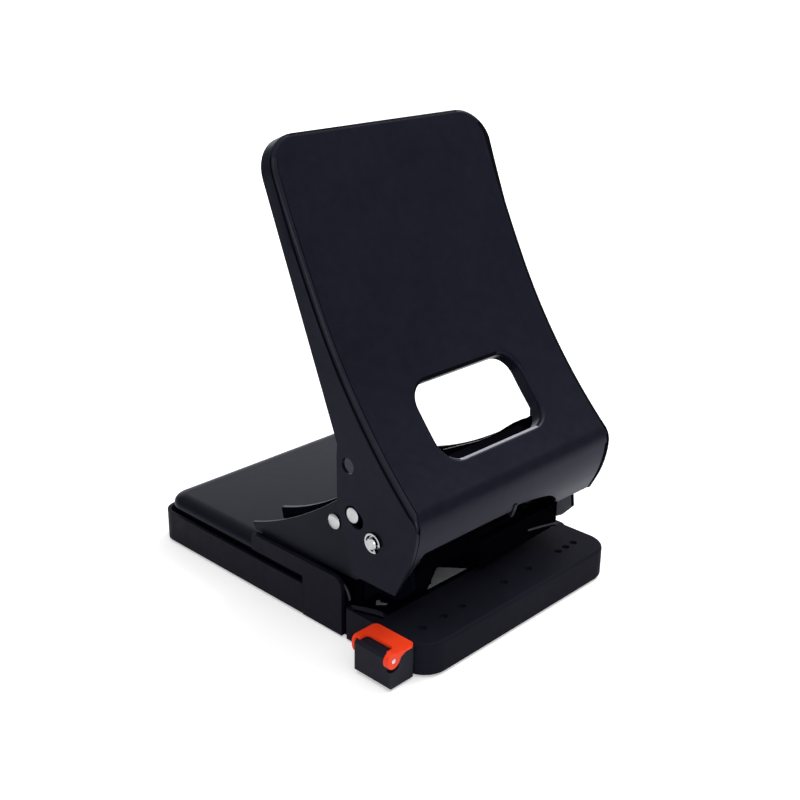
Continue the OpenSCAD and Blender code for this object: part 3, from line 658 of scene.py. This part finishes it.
def rearCover():
    d = cover
    bpy.ops.mesh.primitive_plane_add(size=1)
    obj = named("rearCover")
    for vertex in obj.data.vertices:  # the front has some to spare, which is cut off below
        x = d["half"] if vertex.co.x > 0 else -d["half"]
        y = d["rear"] if vertex.co.y > 0 else d["front"] - d["spare"]
        vertex.co = along("Z", x, y, d["low"])
    pick(obj, "VERT", lambda vertex: True)
    bpy.ops.mesh.bevel(offset=d["corner"] * mm, segments=10, affect="VERTICES")
    done()
    wide, high = d["edge"]
    rise = d["top"] - d["low"] - high
    pick(obj, "FACE", lambda face: True)
    bpy.ops.mesh.extrude_region_move(TRANSFORM_OT_translate={"value": (0, 0, rise * mm)})
    steps = 8
    for i in range(steps):
        a, b = pi / 2 * i / steps, pi / 2 * (i + 1) / steps
        bpy.ops.mesh.inset(thickness=wide * (cos(a) - cos(b)) * mm)
        bpy.ops.transform.translate(value=(0, 0, high * (sin(b) - sin(a)) * mm))
    bpy.ops.mesh.select_all(action="SELECT")
    bpy.ops.mesh.normals_make_consistent()
    bpy.ops.mesh.bisect(plane_co=(0, d["front"] * mm, 0), plane_no=(0, 1, 0), clear_inner=True)
    done()
    floor = d["low"] * mm
    pick(obj, "FACE", lambda face: abs(face.center.z - floor) < 0.05 * mm and abs(face.normal.z) > 0.9)
    bpy.ops.mesh.delete(type="FACE")
    done()
    applied(obj, "SOLIDIFY", thickness=d["sheet"] * mm, use_even_offset=True)
    tongue = block("tongue", *d["tongue"])
    for side in (-1, 1):
        slit(tongue, (side * d["tongueShade"], 0, 0), (1, 0, 0))
    for part in (obj, tongue):
        coated(part, "cover_coat", "painted_shade")
    # painted shade on the tongue's outer ends
    painted(tongue, lambda c, n: int(abs(c.x) > d["tongueShade"]))
    obj = joined(obj, tongue)
    soften(obj, d["round"], 2, 50)
    settle(obj, "base", "cover_coat", "rear_cover")


rearCover()
print("rear cover made")


# chip tray: moulded drawer with a tongue under the die

tray = {
    "size": ((-65, -15.55, 1.3), (65, 90, 16.4)), "corner": 8.5, "wall": 1.8, "floor": 2.9, "floorTop": 4.4,
    "tongue": ((-46, -58, 2.9), (46, -15.1, 9.6)), "mouth": ((-44.2, -16.2, 4.4), (44.2, -11.8, 17.4)),
    "ribs": [(-59, -57.8), (57.8, 59)], "ribEnds": (1, 12), "ribGap": 0.4, "round": 0.1,
}


def trayBox(name, low, high, corner):  # a block with two round corners at the rear
    box = block(name, low, high)

    def upright(edge):
        a, b = edgeEnds(box, edge)
        return abs(a.z - b.z) > 0.5 and a.y > high[1] - 1

    pick(box, "EDGE", upright)
    bpy.ops.mesh.bevel(offset=corner * mm, segments=10, affect="EDGES")
    done()
    return box


def chipTray():
    d = tray
    (x0, y0, z0), (x1, y1, z1) = d["size"]
    wall, corner, floor, floorTop = d["wall"], d["corner"], d["floor"], d["floorTop"]
    obj = trayBox("chipTray", *d["size"], corner)
    left, right, rear, r = x0 + wall, x1 - wall, y1 - wall, corner - wall
    inside = trayBox("inside", (left, y0 + wall, floorTop), (right, rear, z1 + 5), r)
    under = trayBox("under", (left, y0 - 1, z0 - 2), (right, rear, floor), r)
    carve(obj, inside, under, block("mouth", *d["mouth"]))
    (tx0, ty0, _), (tx1, ty1, tz1) = d["tongue"]
    tongue = block("tongue", *d["tongue"])
    carve(tongue, block("trough", (tx0 + wall, ty0 + wall, floorTop), (tx1 - wall, ty1 + 2, tz1 + 2)))
    front, rear = d["ribEnds"]
    low, high = floor + d["ribGap"], z1 - d["ribGap"]
    ribs = [block("rib", (left, y0 + front, low), (right, y1 - rear, high)) for left, right in d["ribs"]]
    obj = joined(obj, tongue, *ribs)
    soften(obj, d["round"], 3, 50)
    settle(obj, "tray", "moulding", "chip_tray")


chipTray()
print("chip tray made")


# side feet: the front parts of the side walls, with an arm over the slit

foot = {
    "front": -40.6, "rear": -15.6, "armRear": 19, "low": 1, "slit": 20.4, "top": 28.5, "corner": 5,
    "armCorner": 1.6, "x": (63, 65), "padX": (61.9, 63.2), "padFront": -36, "padLow": 16.6, "padShade": 18,
    "round": 0.1, "ledge": ((48, -43, 2.4), (63, -16, 11)), "sill": ((61, -43.1, 1.0), (63.2, -39, 11)),
    "flange": ((56.5, -38.7, 24.8), (62, -15.8, 26)), "shelf": ((56.5, -15.6, 23.3), (62, 19, 24.8)),
    "inner": (60.4, 61.8), "innerArc": ((-32.5, 16.3), 9.5), "innerLow": 10.6, "innerRear": -20,
    "innerLit": 17.4, "partRound": 0.3,
}


def innerFoot():  # a rounded piece inside the foot, with a painted highlight along its front and painted shade elsewhere
    d = foot
    (y, z), r = d["innerArc"]
    rear, low = d["innerRear"], d["innerLow"]
    line = arcPoints((y, z), r, 90, 180, 12) + [(y - r, low), (rear, low), (rear, z + r)]
    return plate("inner", line, "X", *d["inner"])


def sideFeet():
    d = foot
    front, rear, top, r, corner = d["front"], d["rear"], d["top"], d["armCorner"], d["corner"]
    arm = [(rear, d["slit"]), (d["armRear"], d["slit"])] + arcPoints((d["armRear"] - r, top - r), r, 0, 90, 6)
    nose = arcPoints((front + corner, top - corner), corner, 90, 180, 12)
    right = plate("sideFootRight", [(front, d["low"]), (rear, d["low"])] + arm + nose, "X", *d["x"])
    padFront, padLow = d["padFront"], d["padLow"]
    fuse(right, plate("pad", [(padFront, padLow), (rear, padLow)] + arm + [(padFront, top)], "X", *d["padX"]))
    soften(right, d["round"], 3)
    inner = innerFoot()
    extras = [block("part", *d[key]) for key in ("ledge", "sill", "flange", "shelf")]
    for part in (inner, *extras):
        soften(part, d["partRound"])
    for part in (right, inner, *extras):
        coated(part, "moulding", "painted_shade", "painted_edge_light")
    # painted shade on the sill, flange and shelf, and on the inner side of the foot above its pad
    for part in extras[1:]:
        painted(part, lambda c, n: 1)
    painted(right, lambda c, n: int(c.x < d["x"][0] and c.z > d["padShade"]))
    painted(inner, lambda c, n: 2 if n.y < -0.25 and c.z > d["innerLit"] and abs(n.x) < 0.5 else 1)
    right = joined(right, inner, *extras)
    left = twin(right, "sideFootLeft")
    settle(right, "base", "moulding", "side_foot_right")
    settle(left, "base", "moulding", "side_foot_left")


sideFeet()
print("side feet made")


# cheeks and frame plates

plates = {
    "pivot": (-60, 53.8), "boss": 9, "tie": (-33.2, 52.6), "pin": 3.02, "drive": (-47.5, 61.7),
    "driveRadius": 3.8, "play": 0.3, "drop": 13, "cheekX": (60, 61.6), "frameX": (53.5, 56), "round": 0.35,
    "crown": [(-44, 69.7), (-51.5, 69.7)],
    "cheekFoot": [(-46, 29.4), (20, 28.8)], "cheekTail": ((22, 32.2), (-9.5, 42.4), (-41, 68.2)),
    "cheekFront": [(-65.5, 40.3)],
    "frameFoot": [(-43.4, 15.4), (-16.5, 15.4), (-16.5, 30)],
    "frameTail": ((8, 42.7), (-16, 49.8), (-40, 68.2)), "tailEnd": (7, 37.7),
    "rightTail": [  # the right one is lower
        (8, 35.4), (8.6, 36.6), (3.6, 39.2), (-1.8, 42), (-8.3, 45.4), (-14.8, 48.8), (-21, 52.9),
        (-27.2, 57.5), (-32, 61.6), (-36, 64.9), (-40, 67.6)],
    "frameFront": [(-72.6, 38.6), (-73.3, 33), (-67.5, 26.6), (-64, 24.6), (-43.4, 24.6)],
    "toe": ((44.5, -41.5, 15.4), (53.5, -17.1, 17.4)), "toeRound": 0.4,
    "litFront": -63.5, "litSide": 54.9, "litRear": -42, "leftLitRear": -30,
}
crown = plates["crown"] + arcPoints(plates["pivot"], plates["boss"], 146, 190, 8)  # top of all four


def plateCutters(low, high):
    d = plates
    (y, z), r = d["drive"], d["driveRadius"]
    track = arcPoints((y, z + d["play"]), r, 0, 180, 14) + arcPoints((y, z - d["drop"]), r, 180, 360, 14)
    lines = [ringPoints(d[key], d["pin"]) for key in ("pivot", "tie")] + [track]
    return [plate("cut", line, "X", low, high) for line in lines]


def sidePlate(name, line, span):
    obj = plate(name, line, "X", *span)
    carve(obj, *plateCutters(span[0] - 2, span[1] + 2))
    return obj


def framePlate(name, line):
    d = plates
    obj = sidePlate(name, line, d["frameX"])
    slit(obj, (0, d["litFront"], 0), (0, 1, 0))
    slit(obj, (d["litSide"], 0, 0), (1, 0, 0))
    soften(obj, d["round"])
    toe = block("toe", *d["toe"])
    soften(toe, d["toeRound"])
    return joined(obj, toe)


def cheekPlates():  # painted shade on the inner face, painted highlight along the upper edge
    d = plates
    line = d["cheekFoot"] + bowPoints(*d["cheekTail"], 16) + crown + d["cheekFront"]
    right = sidePlate("cheekRight", line, d["cheekX"])
    soften(right, d["round"])
    left = twin(right, "cheekLeft")
    for obj, inward in ((left, 1), (right, -1)):
        coated(obj, "plate_coat", "painted_shade", "painted_edge_light")
        painted(obj, lambda c, n: 1 if n.x * inward > 0.6 else 2 if n.z > 0.3 and abs(n.x) < 0.6 else 0)
    settle(right, "base", "plate_coat", "cheek_right")
    settle(left, "base", "plate_coat", "cheek_left")


def framePlates():
    d = plates
    front = crown + d["frameFront"]
    pattern = framePlate("pattern", d["frameFoot"] + [d["tailEnd"]] + bowPoints(*d["frameTail"], 14) + front)
    left = twin(pattern, "framePlateLeft")
    bpy.data.objects.remove(pattern)
    right = framePlate("framePlateRight", d["frameFoot"] + d["rightTail"] + front)

    def rightCoat(c, n):  # painted light at the front of the inner side and along the upper edge
        inFront = n.x < -0.6 and c.y < d["litFront"]
        onTop = n.z > 0.3 and abs(n.x) < 0.8 and c.y > d["litRear"] and c.x < d["litSide"]
        return int(inFront or onTop)

    # both frame plates are coated in the painted shade
    coated(right, "painted_shade", "painted_lit_plate")
    painted(right, rightCoat)
    # painted highlight along the upper edge of the left frame plate
    coated(left, "painted_shade", "painted_edge_light")
    painted(left, lambda c, n: int(n.z > 0.3 and abs(n.x) < 0.6 and c.y > d["leftLitRear"]))
    settle(right, "base", "plate_coat", "frame_right")
    settle(left, "base", "plate_coat", "frame_left")


cheekPlates()
framePlates()
print("plates made")


# pins: drive bar, tie rod, pivot pins and their clips

pins = {
    "drive": (-47.5, 61.7, 3.5, 65.2), "driveEdge": 0.5, "tie": (-33.2, 52.6, 3, 61.6),
    "pivot": (-60, 53.8, 3), "collar": (4.5, 51.5, 53.5), "clip": (65.15, 66.05, 4.4, 2.4),
    "clipTurn": (240, 545), "clipGap": 1.15,
    "lug": 325, "lugHalf": 38, "endHalf": 14, "clipRound": 0.12,
}


def roundEnd(radius, length, edge):  # half profile of a bar end, from its rim to its middle
    cut = edge * 0.3
    return [(radius, length - edge), (radius - cut, length - cut), (radius - edge, length), (0, length)]


def bothEnds(half):  # the other end of a bar, then this one
    return [(a, -b) for a, b in reversed(half)] + half


def brightEnds(obj):  # only the ends of the pins are bright; their sides carry painted shade
    coated(obj, "zinc_steel", "painted_shade")
    painted(obj, lambda c, n: int(abs(n.x) <= 0.45))
    return obj


def bars():
    y, z, r, end = pins["drive"]
    bar = turned("driveBar", bothEnds(roundEnd(r, end, pins["driveEdge"])), "X", (0, y, z), 48)
    settle(brightEnds(bar), "carriage", "zinc_steel", "drive_bar")
    y, z, r, end = pins["tie"]
    head = [(r, end), (r + 0.5, end), (r + 0.5, end + 0.55), (r + 0.1, end + 0.9)]
    head += [(r * 0.5, end + 1), (0, end + 1)]
    rod = turned("tieRod", bothEnds(head), "X", (0, y, z), 48)
    settle(brightEnds(rod), "base", "zinc_steel", "tie_rod")


def pivotPins():
    y, z, r = pins["pivot"]
    low, high, _, inner = pins["clip"]
    wide, start, end = pins["collar"]
    play, neck = 0.05, r - 0.35
    shape = [(0, start), (wide, start), (wide, end), (r, end), (r, low - play), (inner, low - play)]
    shape += [(inner, high + play), (neck, high + play), (neck, high + 0.5)]
    shape += [(neck - 0.4, high + 0.9), (0, high + 0.9)]
    right = turned("pivotPinRight", shape, "X", (0, y, z), 48)
    left = twin(right, "pivotPinLeft")
    settle(brightEnds(right), "base", "zinc_steel", "pivot_pin_right")
    settle(brightEnds(left), "base", "zinc_steel", "pivot_pin_left")


def pinClips():  # open rings with a lug that grips the groove
    d = pins
    y, z, _ = d["pivot"]
    low, high, outer, inner = d["clip"]
    start, stop = d["clipTurn"]
    inside, steps = [], 59
    for k in range(steps + 1):
        a = stop - (stop - start) * k / steps
        fromLug = abs((a - d["lug"] + 180) % 360 - 180)
        grips = fromLug < d["lugHalf"] or stop - a < d["endHalf"] or a - start < d["endHalf"]
        reach = inner + (0.04 if grips else d["clipGap"])
        inside.append((y + reach * cos(radians(a)), z + reach * sin(radians(a))))
    right = plate("clipRight", arcPoints((y, z), outer, start, stop, 36) + inside, "X", low, high)
    soften(right, d["clipRound"])
    clips = joined(right, twin(right, "clipLeft"))
    clips.name = "clips"
    settle(brightEnds(clips), "base", "zinc_steel", "e_clips")


bars()
pivotPins()
pinClips()
print("pins made")


# end of the paper guide and its orange flap

guide = {
    "block": [(-65.5, 1.2), (-78.4, 1.2), (-79.2, 2), (-79.2, 14.6), (-77.8, 16), (-65.5, 16)],
    "y": (-83.5, -63.3), "pin": (-77, 13.8, 1.5), "pinHalf": 10.6, "through": (-90, -55), "round": 1.0,
    "slot": ((-75.6, -82.4, 4.9), (-60, -64.6, 7.6)), "seat": -81.9, "seatRadius": 4.95,
    "seatLine": [(-73.88, 15), (-66, 15), (-66, 30), (-90, 30), (-90, 13.8)],
    "flapX": -65.4, "flapY": (-84.5, -61.9), "flapZ": (16.25, 17.5), "flapCorner": 2.4, "flapRound": 0.45,
    "cutX": -73.8, "cutY": (-80.4, -65.4), "cutCorner": 1.3, "arms": (2.5, 1.3), "eye": 3.6,
    "eyeAt": (-77.9, 14.9), "armRoot": 5, "armUnder": (4.4, 1.0), "rearEye": ((-77, 15.1), 2.4),
    "rearArm": [(-79.4, 15), (-79.2, 12), (-78.6, 10.4), (-77, 10.3), (-76.3, 12.6)],
    "button": [(0, 0.6), (1.1, 0.6), (1.1, -0.05), (0.9, -0.2), (0.5, -0.26), (0, -0.28)],
}


def guideEnd():
    d = guide
    px, pz, pr = d["pin"]
    obj = plate("guideEnd", d["block"], "Y", *d["y"])
    seatLine = arcPoints((px, pz), d["seatRadius"], 180, 309, 16) + d["seatLine"]
    seat = plate("seat", seatLine, "Y", d["through"][0], d["seat"])
    hole = plate("hole", ringPoints((px, pz), pr + 0.02, 30), "Y", *d["through"])
    carve(obj, block("slot", *d["slot"]), seat, hole)
    soften(obj, d["round"], 3)
    coated(obj, "end_coat")
    settle(obj, "paper_guide", "moulding", "guide_end_block")
    end = d["pinHalf"]
    half = [(pr, end - 0.2), (pr - 0.2, end), (0, end)]
    pin = turned("flapPin", bothEnds(half), "Y", (px, sum(d["flapY"]) / 2, pz), 24)
    settle(pin, "paper_guide", "zinc_steel", "flap_pin")


def flapPlan():  # rounded outside, open between its two arms
    d = guide
    x, (y0, y1), (cut0, cut1) = d["flapX"], d["flapY"], d["cutY"]
    r, q, ex = d["flapCorner"], d["cutCorner"], d["eyeAt"][0]
    plan = arcPoints((x - r, y0 + r), r, -90, 0, 6) + arcPoints((x - r, y1 - r), r, 0, 90, 6)
    plan += [(ex, y1), (ex, cut1)]
    cut = d["cutX"] - q
    plan += arcPoints((cut, cut1 - q), q, 90, 0, 4) + arcPoints((cut, cut0 + q), q, 0, -90, 4)
    return plan + [(ex, cut0), (ex, y0)]


def stopFlap():
    d = guide
    (y0, y1), (z0, z1), (ex, ez) = d["flapY"], d["flapZ"], d["eyeAt"]
    front, rear = d["arms"]
    root = d["flapX"] - d["armRoot"]
    base = [(root, z0 + 0.2), (root, z1)]
    under = [(ex + d["armUnder"][0], z0 - d["armUnder"][1])]
    frontArm = base + [(ex + 1, z1)] + arcPoints((ex, ez), d["eye"], 75, 325, 24) + under
    rearArm = base + arcPoints(*d["rearEye"], 90, 170, 8) + d["rearArm"] + under
    flap = plate("flap", flapPlan(), "Z", z0, z1)
    fuse(flap, plate("arm", frontArm, "Y", y0, y0 + front), plate("arm", rearArm, "Y", y1 - rear, y1))
    soften(flap, d["flapRound"], 3)
    button = turned("button", d["button"], "Y", (ex, y0, ez), 24)
    coated(flap, "flap_plastic")
    coated(button, "zinc_steel")
    settle(joined(flap, button), "flap", "flap_plastic", "stop_flap")


guideEnd()
stopFlap()
print("paper guide made")


# punch guide: black moulding over the die, its black partly painted shade, with a skirt towards the table and
# a patch of painted light seen through its pocket

guideBody = {
    "body": ((-53.5, -65, 24.6), (53.5, -47, 32.6)), "raised": ((-29, -62, 30), (29, -47, 35.6)),
    "pocket": ((-35, -70, 20), (-2.5, -57, 40)), "punch": (40, -55.7, 3.1), "round": 0.5,
    "skirt": [(-2.5, 18.4), (53.5, 21), (53.5, 25.5), (-2.5, 25.5)], "skirtY": (-65, -63.4),
    "lightPatch": [(-28.2, -56.8), (-2.0, -56.9), (-10.8, -46.6)], "patchZ": (15.42, 15.62), "patchRound": 0.08,
    "tab": [(-50.9, -47.5), (-49.4, -48.4), (-50.5, -49.9), (-49.05, -52.9), (-50.4, -53), (-53.4, -50)],
    "strip": [(31.6, 25.2), (31.6, 26.2), (42, 24.4), (53.4, 22.1), (53.4, 21.2), (42, 23.4)],
    "stripY": (-65.3, -64.8),
}


def punchGuide():
    d = guideBody
    obj = block("punchGuide", *d["body"])
    fuse(obj, block("raised", *d["raised"]), plate("skirt", d["skirt"], "Y", *d["skirtY"]))
    x, y, r = d["punch"]
    holes = [plate("hole", ringPoints((way * x, y), r), "Z", 10, 50) for way in (-1, 1)]
    carve(obj, block("pocket", *d["pocket"]), *holes)
    soften(obj, d["round"])
    settle(obj, "base", "guide_moulding", "punch_guide")


def lightPatches():  # painted light beside the die: a patch of light, a small lit bit and a light streak
    d = guideBody
    lightPatch, tab = (plate(key, d[key], "Z", *d["patchZ"]) for key in ("lightPatch", "tab"))
    strip = plate("strip", d["strip"], "Y", *d["stripY"])
    for part, coat in ((lightPatch, "painted_light_patch"), (strip, "painted_edge_light"), (tab, "painted_light_patch")):
        coated(part, coat)
    lightPatch = joined(lightPatch, strip, tab)
    soften(lightPatch, d["patchRound"])
    settle(lightPatch, "base", "plate_steel")


punchGuide()
lightPatches()
print("punch guide made")


# return springs

spring = {
    "x": 40, "y": -55.7, "low": 32.7, "high": 51.9, "radius": 5, "wire": 0.45, "turns": 6, "turnSteps": 20,
}


def springPoint(t):  # a place on the wire after t turns, with one flat turn at each end
    d = spring
    flatRise = d["wire"] * 2.05
    rise = min(max(t - 1, 0), d["turns"]) / d["turns"]
    z = d["low"] + d["wire"] + flatRise * min(t, 1)
    z += (d["high"] - d["low"] - 2 * d["wire"] - 2 * flatRise) * rise + flatRise * max(t - d["turns"] - 1, 0)
    return d["radius"] * cos(2 * pi * t), d["y"] + d["radius"] * sin(2 * pi * t), z


def returnSprings():
    d = spring
    allTurns = d["turns"] + 2
    for way, name, node in ((-1, "springLeft", "spring_left"), (1, "springRight", "spring_right")):
        data = bpy.data.curves.new(name, "CURVE")
        data.dimensions = "3D"
        line = data.splines.new("POLY")
        steps = d["turnSteps"] * allTurns
        line.points.add(steps)
        for i, point in enumerate(line.points):
            x, y, z = springPoint(i / steps * allTurns)
            point.co = ((way * d["x"] + x) * mm, y * mm, z * mm, 1)
        data.bevel_depth = d["wire"] * mm
        data.bevel_resolution = 3
        data.use_fill_caps = True
        hold(added(name, data))
        bpy.ops.object.convert(target="MESH")
        obj = named(name)
        closeUp(obj)
        bpy.ops.object.shade_smooth()
        settle(obj, "base", "spring_steel", node)
        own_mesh(obj)


returnSprings()
print("springs made")


# finishes, all from Object coordinates: dark and pale colour on screen, least and most roughness, grain,
# bump and specular level, which bare metal doesn't have

finishes = {
    "lever_coat": ((20, 21, 31), (25, 26, 37), (0.28, 0.33), 900, 0.04, 0.076),
    # a shinier copy of the lever coat, for a painted sheen along the side beads
    "fold_band": ((18, 19, 28), (22, 23, 33), (0.28, 0.33), 900, 0.04, 0.16),
    # painted shade for the creases of the beads, the top edge, the right bead and the upper and left window
    # roll
    "painted_fold_shade": ((3, 3, 7), (5, 5, 10), (0.4, 0.5), 900, 0.04, 0.02),
    # painted highlight along the lower edge of the window roll
    "painted_highlight": ((132, 134, 141), (150, 152, 159), (0.3, 0.4), 900, 0.06, 0.4),
    "cover_coat": ((16, 17, 26), (20, 21, 30), (0.36, 0.41), 900, 0.05, 0.095),
    "plate_coat": ((14, 15, 23), (19, 20, 29), (0.34, 0.46), 900, 0.06, 0.1),
    # painted shade: near black and almost without shine, for faces that stand in shade
    "painted_shade": ((3, 3, 12), (5, 5, 16), (0.7, 0.85), 900, 0.1, 0.01),
    # painted highlight along upper edges and the front of the inner foot piece
    "painted_edge_light": ((60, 61, 68), (74, 75, 82), (0.4, 0.5), 900, 0.1, 0.2),
    # painted light on the front and upper edge of the right frame plate
    "painted_lit_plate": ((84, 85, 92), (98, 99, 105), (0.4, 0.5), 900, 0.1, 0.2),
    # painted light: a patch of light on the die plate and a small lit bit
    "painted_light_patch": ((118, 119, 123), (134, 135, 139), (0.4, 0.5), 900, 0.1, 0.2),
    "moulding": ((10, 10, 21), (14, 14, 26), (0.48, 0.6), 1500, 0.12, 0.095),
    "table_coat": ((19, 19, 27), (23, 23, 32), (0.54, 0.66), 1500, 0.12, 0.03),
    # painted highlight on the rims of the table's arms
    "painted_rim_light": ((36, 37, 45), (44, 45, 53), (0.45, 0.55), 900, 0.1, 0.1),
    "end_coat": ((15, 15, 26), (19, 19, 31), (0.5, 0.62), 1500, 0.12, 0.2),
    # near black and almost without shine: partly the moulding's own black, partly painted shade under the lip
    "guide_moulding": ((3, 3, 7), (5, 5, 10), (0.7, 0.8), 1500, 0.12, 0.003),
    "ruler_plastic": ((20, 20, 24), (26, 26, 30), (0.45, 0.6), 1500, 0.16, 0.2),
    "rubber": ((8, 8, 9), (13, 13, 14), (0.75, 0.9), 1800, 0.3, 0.15),
    "flap_plastic": ((228, 56, 24), (240, 66, 31), (0.34, 0.46), 1100, 0.08, 0.16),
    "zinc_steel": ((196, 197, 199), (226, 227, 229), (0.24, 0.42), 1400, 0.12, None),
    "plate_steel": ((64, 65, 68), (90, 91, 94), (0.38, 0.58), 900, 0.15, None),
    "punch_steel": ((52, 53, 56), (70, 70, 73), (0.3, 0.42), 1800, 0.08, None),
    # near black, painted shade: the springs stand in the shade of the notch
    "spring_steel": ((8, 8, 9), (14, 14, 15), (0.4, 0.55), 1600, 0.08, None),
}
coolShine = (0.86, 0.88, 1, 1)  # tint of the shine on all but the orange flap
# parts from the model coated in the painted shade, where they stand in shade
shadedNodes = ("punch_yoke", "guide_screws", "die_plate", "die_bushes")


def tint(rgb):  # a colour as it is seen on screen, as shader values
    return tuple((c / 255 / 12.92 if c <= 10.3 else ((c / 255 + 0.055) / 1.055) ** 2.4) for c in rgb) + (1,)


def put(node, **sockets):  # sets sockets that nothing is joined to
    for key, value in sockets.items():
        node.inputs[key.replace("_", " ")].default_value = value
    return node


def addNode(tree, kind, operation=None, **sockets):
    node = tree.nodes.new("ShaderNode" + kind)
    if operation:
        node.operation = operation
    return put(node, **sockets)


def wire(tree, *links):  # joins sockets, each as a node and its output to a node and its input
    for source, out, target, into in links:
        tree.links.new(source.outputs[out], target.inputs[into])


def finish(name, dark, pale, rough, grainScale, bumpStrength, specular):
    coat = bpy.data.materials.get(name) or bpy.data.materials.new(name)
    coat.use_nodes = True
    tree = coat.node_tree
    shader = tree.nodes["Principled BSDF"]
    place = addNode(tree, "TexCoord")
    cloud = addNode(tree, "TexNoise", Scale=38.0, Detail=3.0, Roughness=0.6)
    grain = addNode(tree, "TexNoise", Scale=float(grainScale), Detail=2.0, Roughness=0.5)
    fleck = addNode(tree, "TexNoise", Scale=210.0, Detail=4.0, Roughness=0.7)
    clouds = addNode(tree, "Math", "MULTIPLY")
    mottle = addNode(tree, "Math", "MULTIPLY_ADD")  # clouds and flecks in about equal parts
    clouds.inputs[1].default_value, mottle.inputs[1].default_value = 0.55, 0.45
    ramp = addNode(tree, "ValToRGB")
    for end, position, rgb in zip(ramp.color_ramp.elements, (0.35, 0.65), (dark, pale)):
        end.position, end.color = position, tint(rgb)
    sheen = addNode(tree, "MapRange", From_Min=0.3, From_Max=0.7, To_Min=rough[0], To_Max=rough[1])
    bump = addNode(tree, "Bump", Strength=bumpStrength, Distance=0.0001)
    wire(tree, *((place, "Object", noise, "Vector") for noise in (cloud, grain, fleck)),
         (cloud, "Fac", clouds, 0), (fleck, "Fac", mottle, 0), (clouds, "Value", mottle, 2),
         (mottle, "Value", ramp, "Fac"), (ramp, "Color", shader, "Base Color"),
         (fleck, "Fac", sheen, "Value"), (sheen, "Result", shader, "Roughness"),
         (grain, "Fac", bump, "Height"), (bump, "Normal", shader, "Normal"))
    if specular is None:
        put(shader, Metallic=1.0)
        return
    put(shader, Specular_IOR_Level=specular)
    if name != "flap_plastic":
        put(shader, Specular_Tint=coolShine)


for name, values in finishes.items():
    finish(name, *values)
for entry in frame["record"]["subparts"]:
    node = nodes[entry["node"]]
    node.data.materials.clear()
    coated(node, "painted_shade" if entry["node"] in shadedNodes else entry["material_slot"])
print("finishes made")


# floor, light and camera

studio = {
    "eye": (-370.3, -364.9, 286.8), "azimuth": -46.35, "elevation": 21.56, "roll": 0.77, "lens": 53.93,
    "floorGlow": (0.34, 0.85), "glowFrom": 0.2, "glowTo": 1.2, "floorColour": 0.9, "world": 0.3,
    "lamps": [  # place, aim, width, height, power
        ((760, -170, 980), (60, -60, 20), 0.55, 0.55, 9.0),
        ((900, 900, 420), (0, 0, 40), 1.6, 0.8, 3.6),
        ((-620, -560, 330), (0, 0, 90), 0.22, 0.22, 1.6),
        ((-150, -250, 1200), (0, -40, 0), 1.8, 1.8, 13.0),
    ],
}


def floorPaper():  # pale paper that fades to white for the camera alone
    d = studio
    paper = bpy.data.materials.new("floorPaper")
    paper.use_nodes = True
    tree = paper.node_tree
    shader, end = tree.nodes["Principled BSDF"], tree.nodes["Material Output"]
    put(shader, Base_Color=(d["floorColour"],) * 3 + (1,), Roughness=0.9, Specular_IOR_Level=0.0)
    near, far = d["floorGlow"]
    place, path = addNode(tree, "TexCoord"), addNode(tree, "LightPath")
    reach = addNode(tree, "VectorMath", "LENGTH")
    fade = addNode(tree, "MapRange", From_Min=d["glowFrom"], From_Max=d["glowTo"], To_Min=near, To_Max=far)
    fade.interpolation_type = "SMOOTHSTEP"
    strength = addNode(tree, "Math", "MULTIPLY")
    glow, total = addNode(tree, "Emission"), addNode(tree, "AddShader")
    wire(tree, (place, "Object", reach, 0), (reach, "Value", fade, "Value"),
         (path, "Is Camera Ray", strength, 0), (fade, "Result", strength, 1),
         (strength, "Value", glow, "Strength"), (glow, "Emission", total, 1),
         (shader, "BSDF", total, 0), (total, "Shader", end, "Surface"))
    return paper


def backdrop():  # white to the camera, dimmer as a light
    world = bpy.data.worlds.new("studio")
    bpy.context.scene.world = world
    world.use_nodes = True
    tree = world.node_tree
    back = put(tree.nodes["Background"], Color=(1, 1, 1, 1))
    path = addNode(tree, "LightPath")
    strength = addNode(tree, "MapRange", To_Min=studio["world"])
    wire(tree, (path, "Is Camera Ray", strength, "Value"), (strength, "Result", back, "Strength"))


def lamps():
    for i, (place, aim, width, height, power) in enumerate(studio["lamps"]):
        data = bpy.data.lights.new("lamp%d" % i, "AREA")
        data.shape = "RECTANGLE"
        data.size, data.size_y = width, height
        data.energy = power
        lamp = added("lamp%d" % i, data)
        lamp.location = Vector(place) * mm
        lamp.rotation_euler = (Vector(aim) - Vector(place)).to_track_quat("-Z", "Y").to_euler()


def camera():
    d = studio
    data = bpy.data.cameras.new("camera")
    data.lens, data.sensor_width = d["lens"], 36
    obj = added("camera", data)
    a, e, r = (radians(d[key]) for key in ("azimuth", "elevation", "roll"))
    back = Vector((sin(a) * cos(e), -cos(a) * cos(e), sin(e)))
    right = Vector((cos(a), sin(a), 0))
    up = back.cross(right)
    turnedRight = cos(r) * right + sin(r) * up
    turnedUp = cos(r) * up - sin(r) * right
    turn = Matrix((turnedRight, turnedUp, back)).transposed().to_4x4()
    obj.matrix_world = Matrix.Translation(Vector(d["eye"]) * mm) @ turn
    bpy.context.scene.camera = obj


bpy.ops.mesh.primitive_plane_add(size=40)
floor = named("floor")
floor.data.materials.append(floorPaper())
backdrop()
lamps()
camera()
bpy.context.scene.view_settings.view_transform = "Standard"
print("studio made")
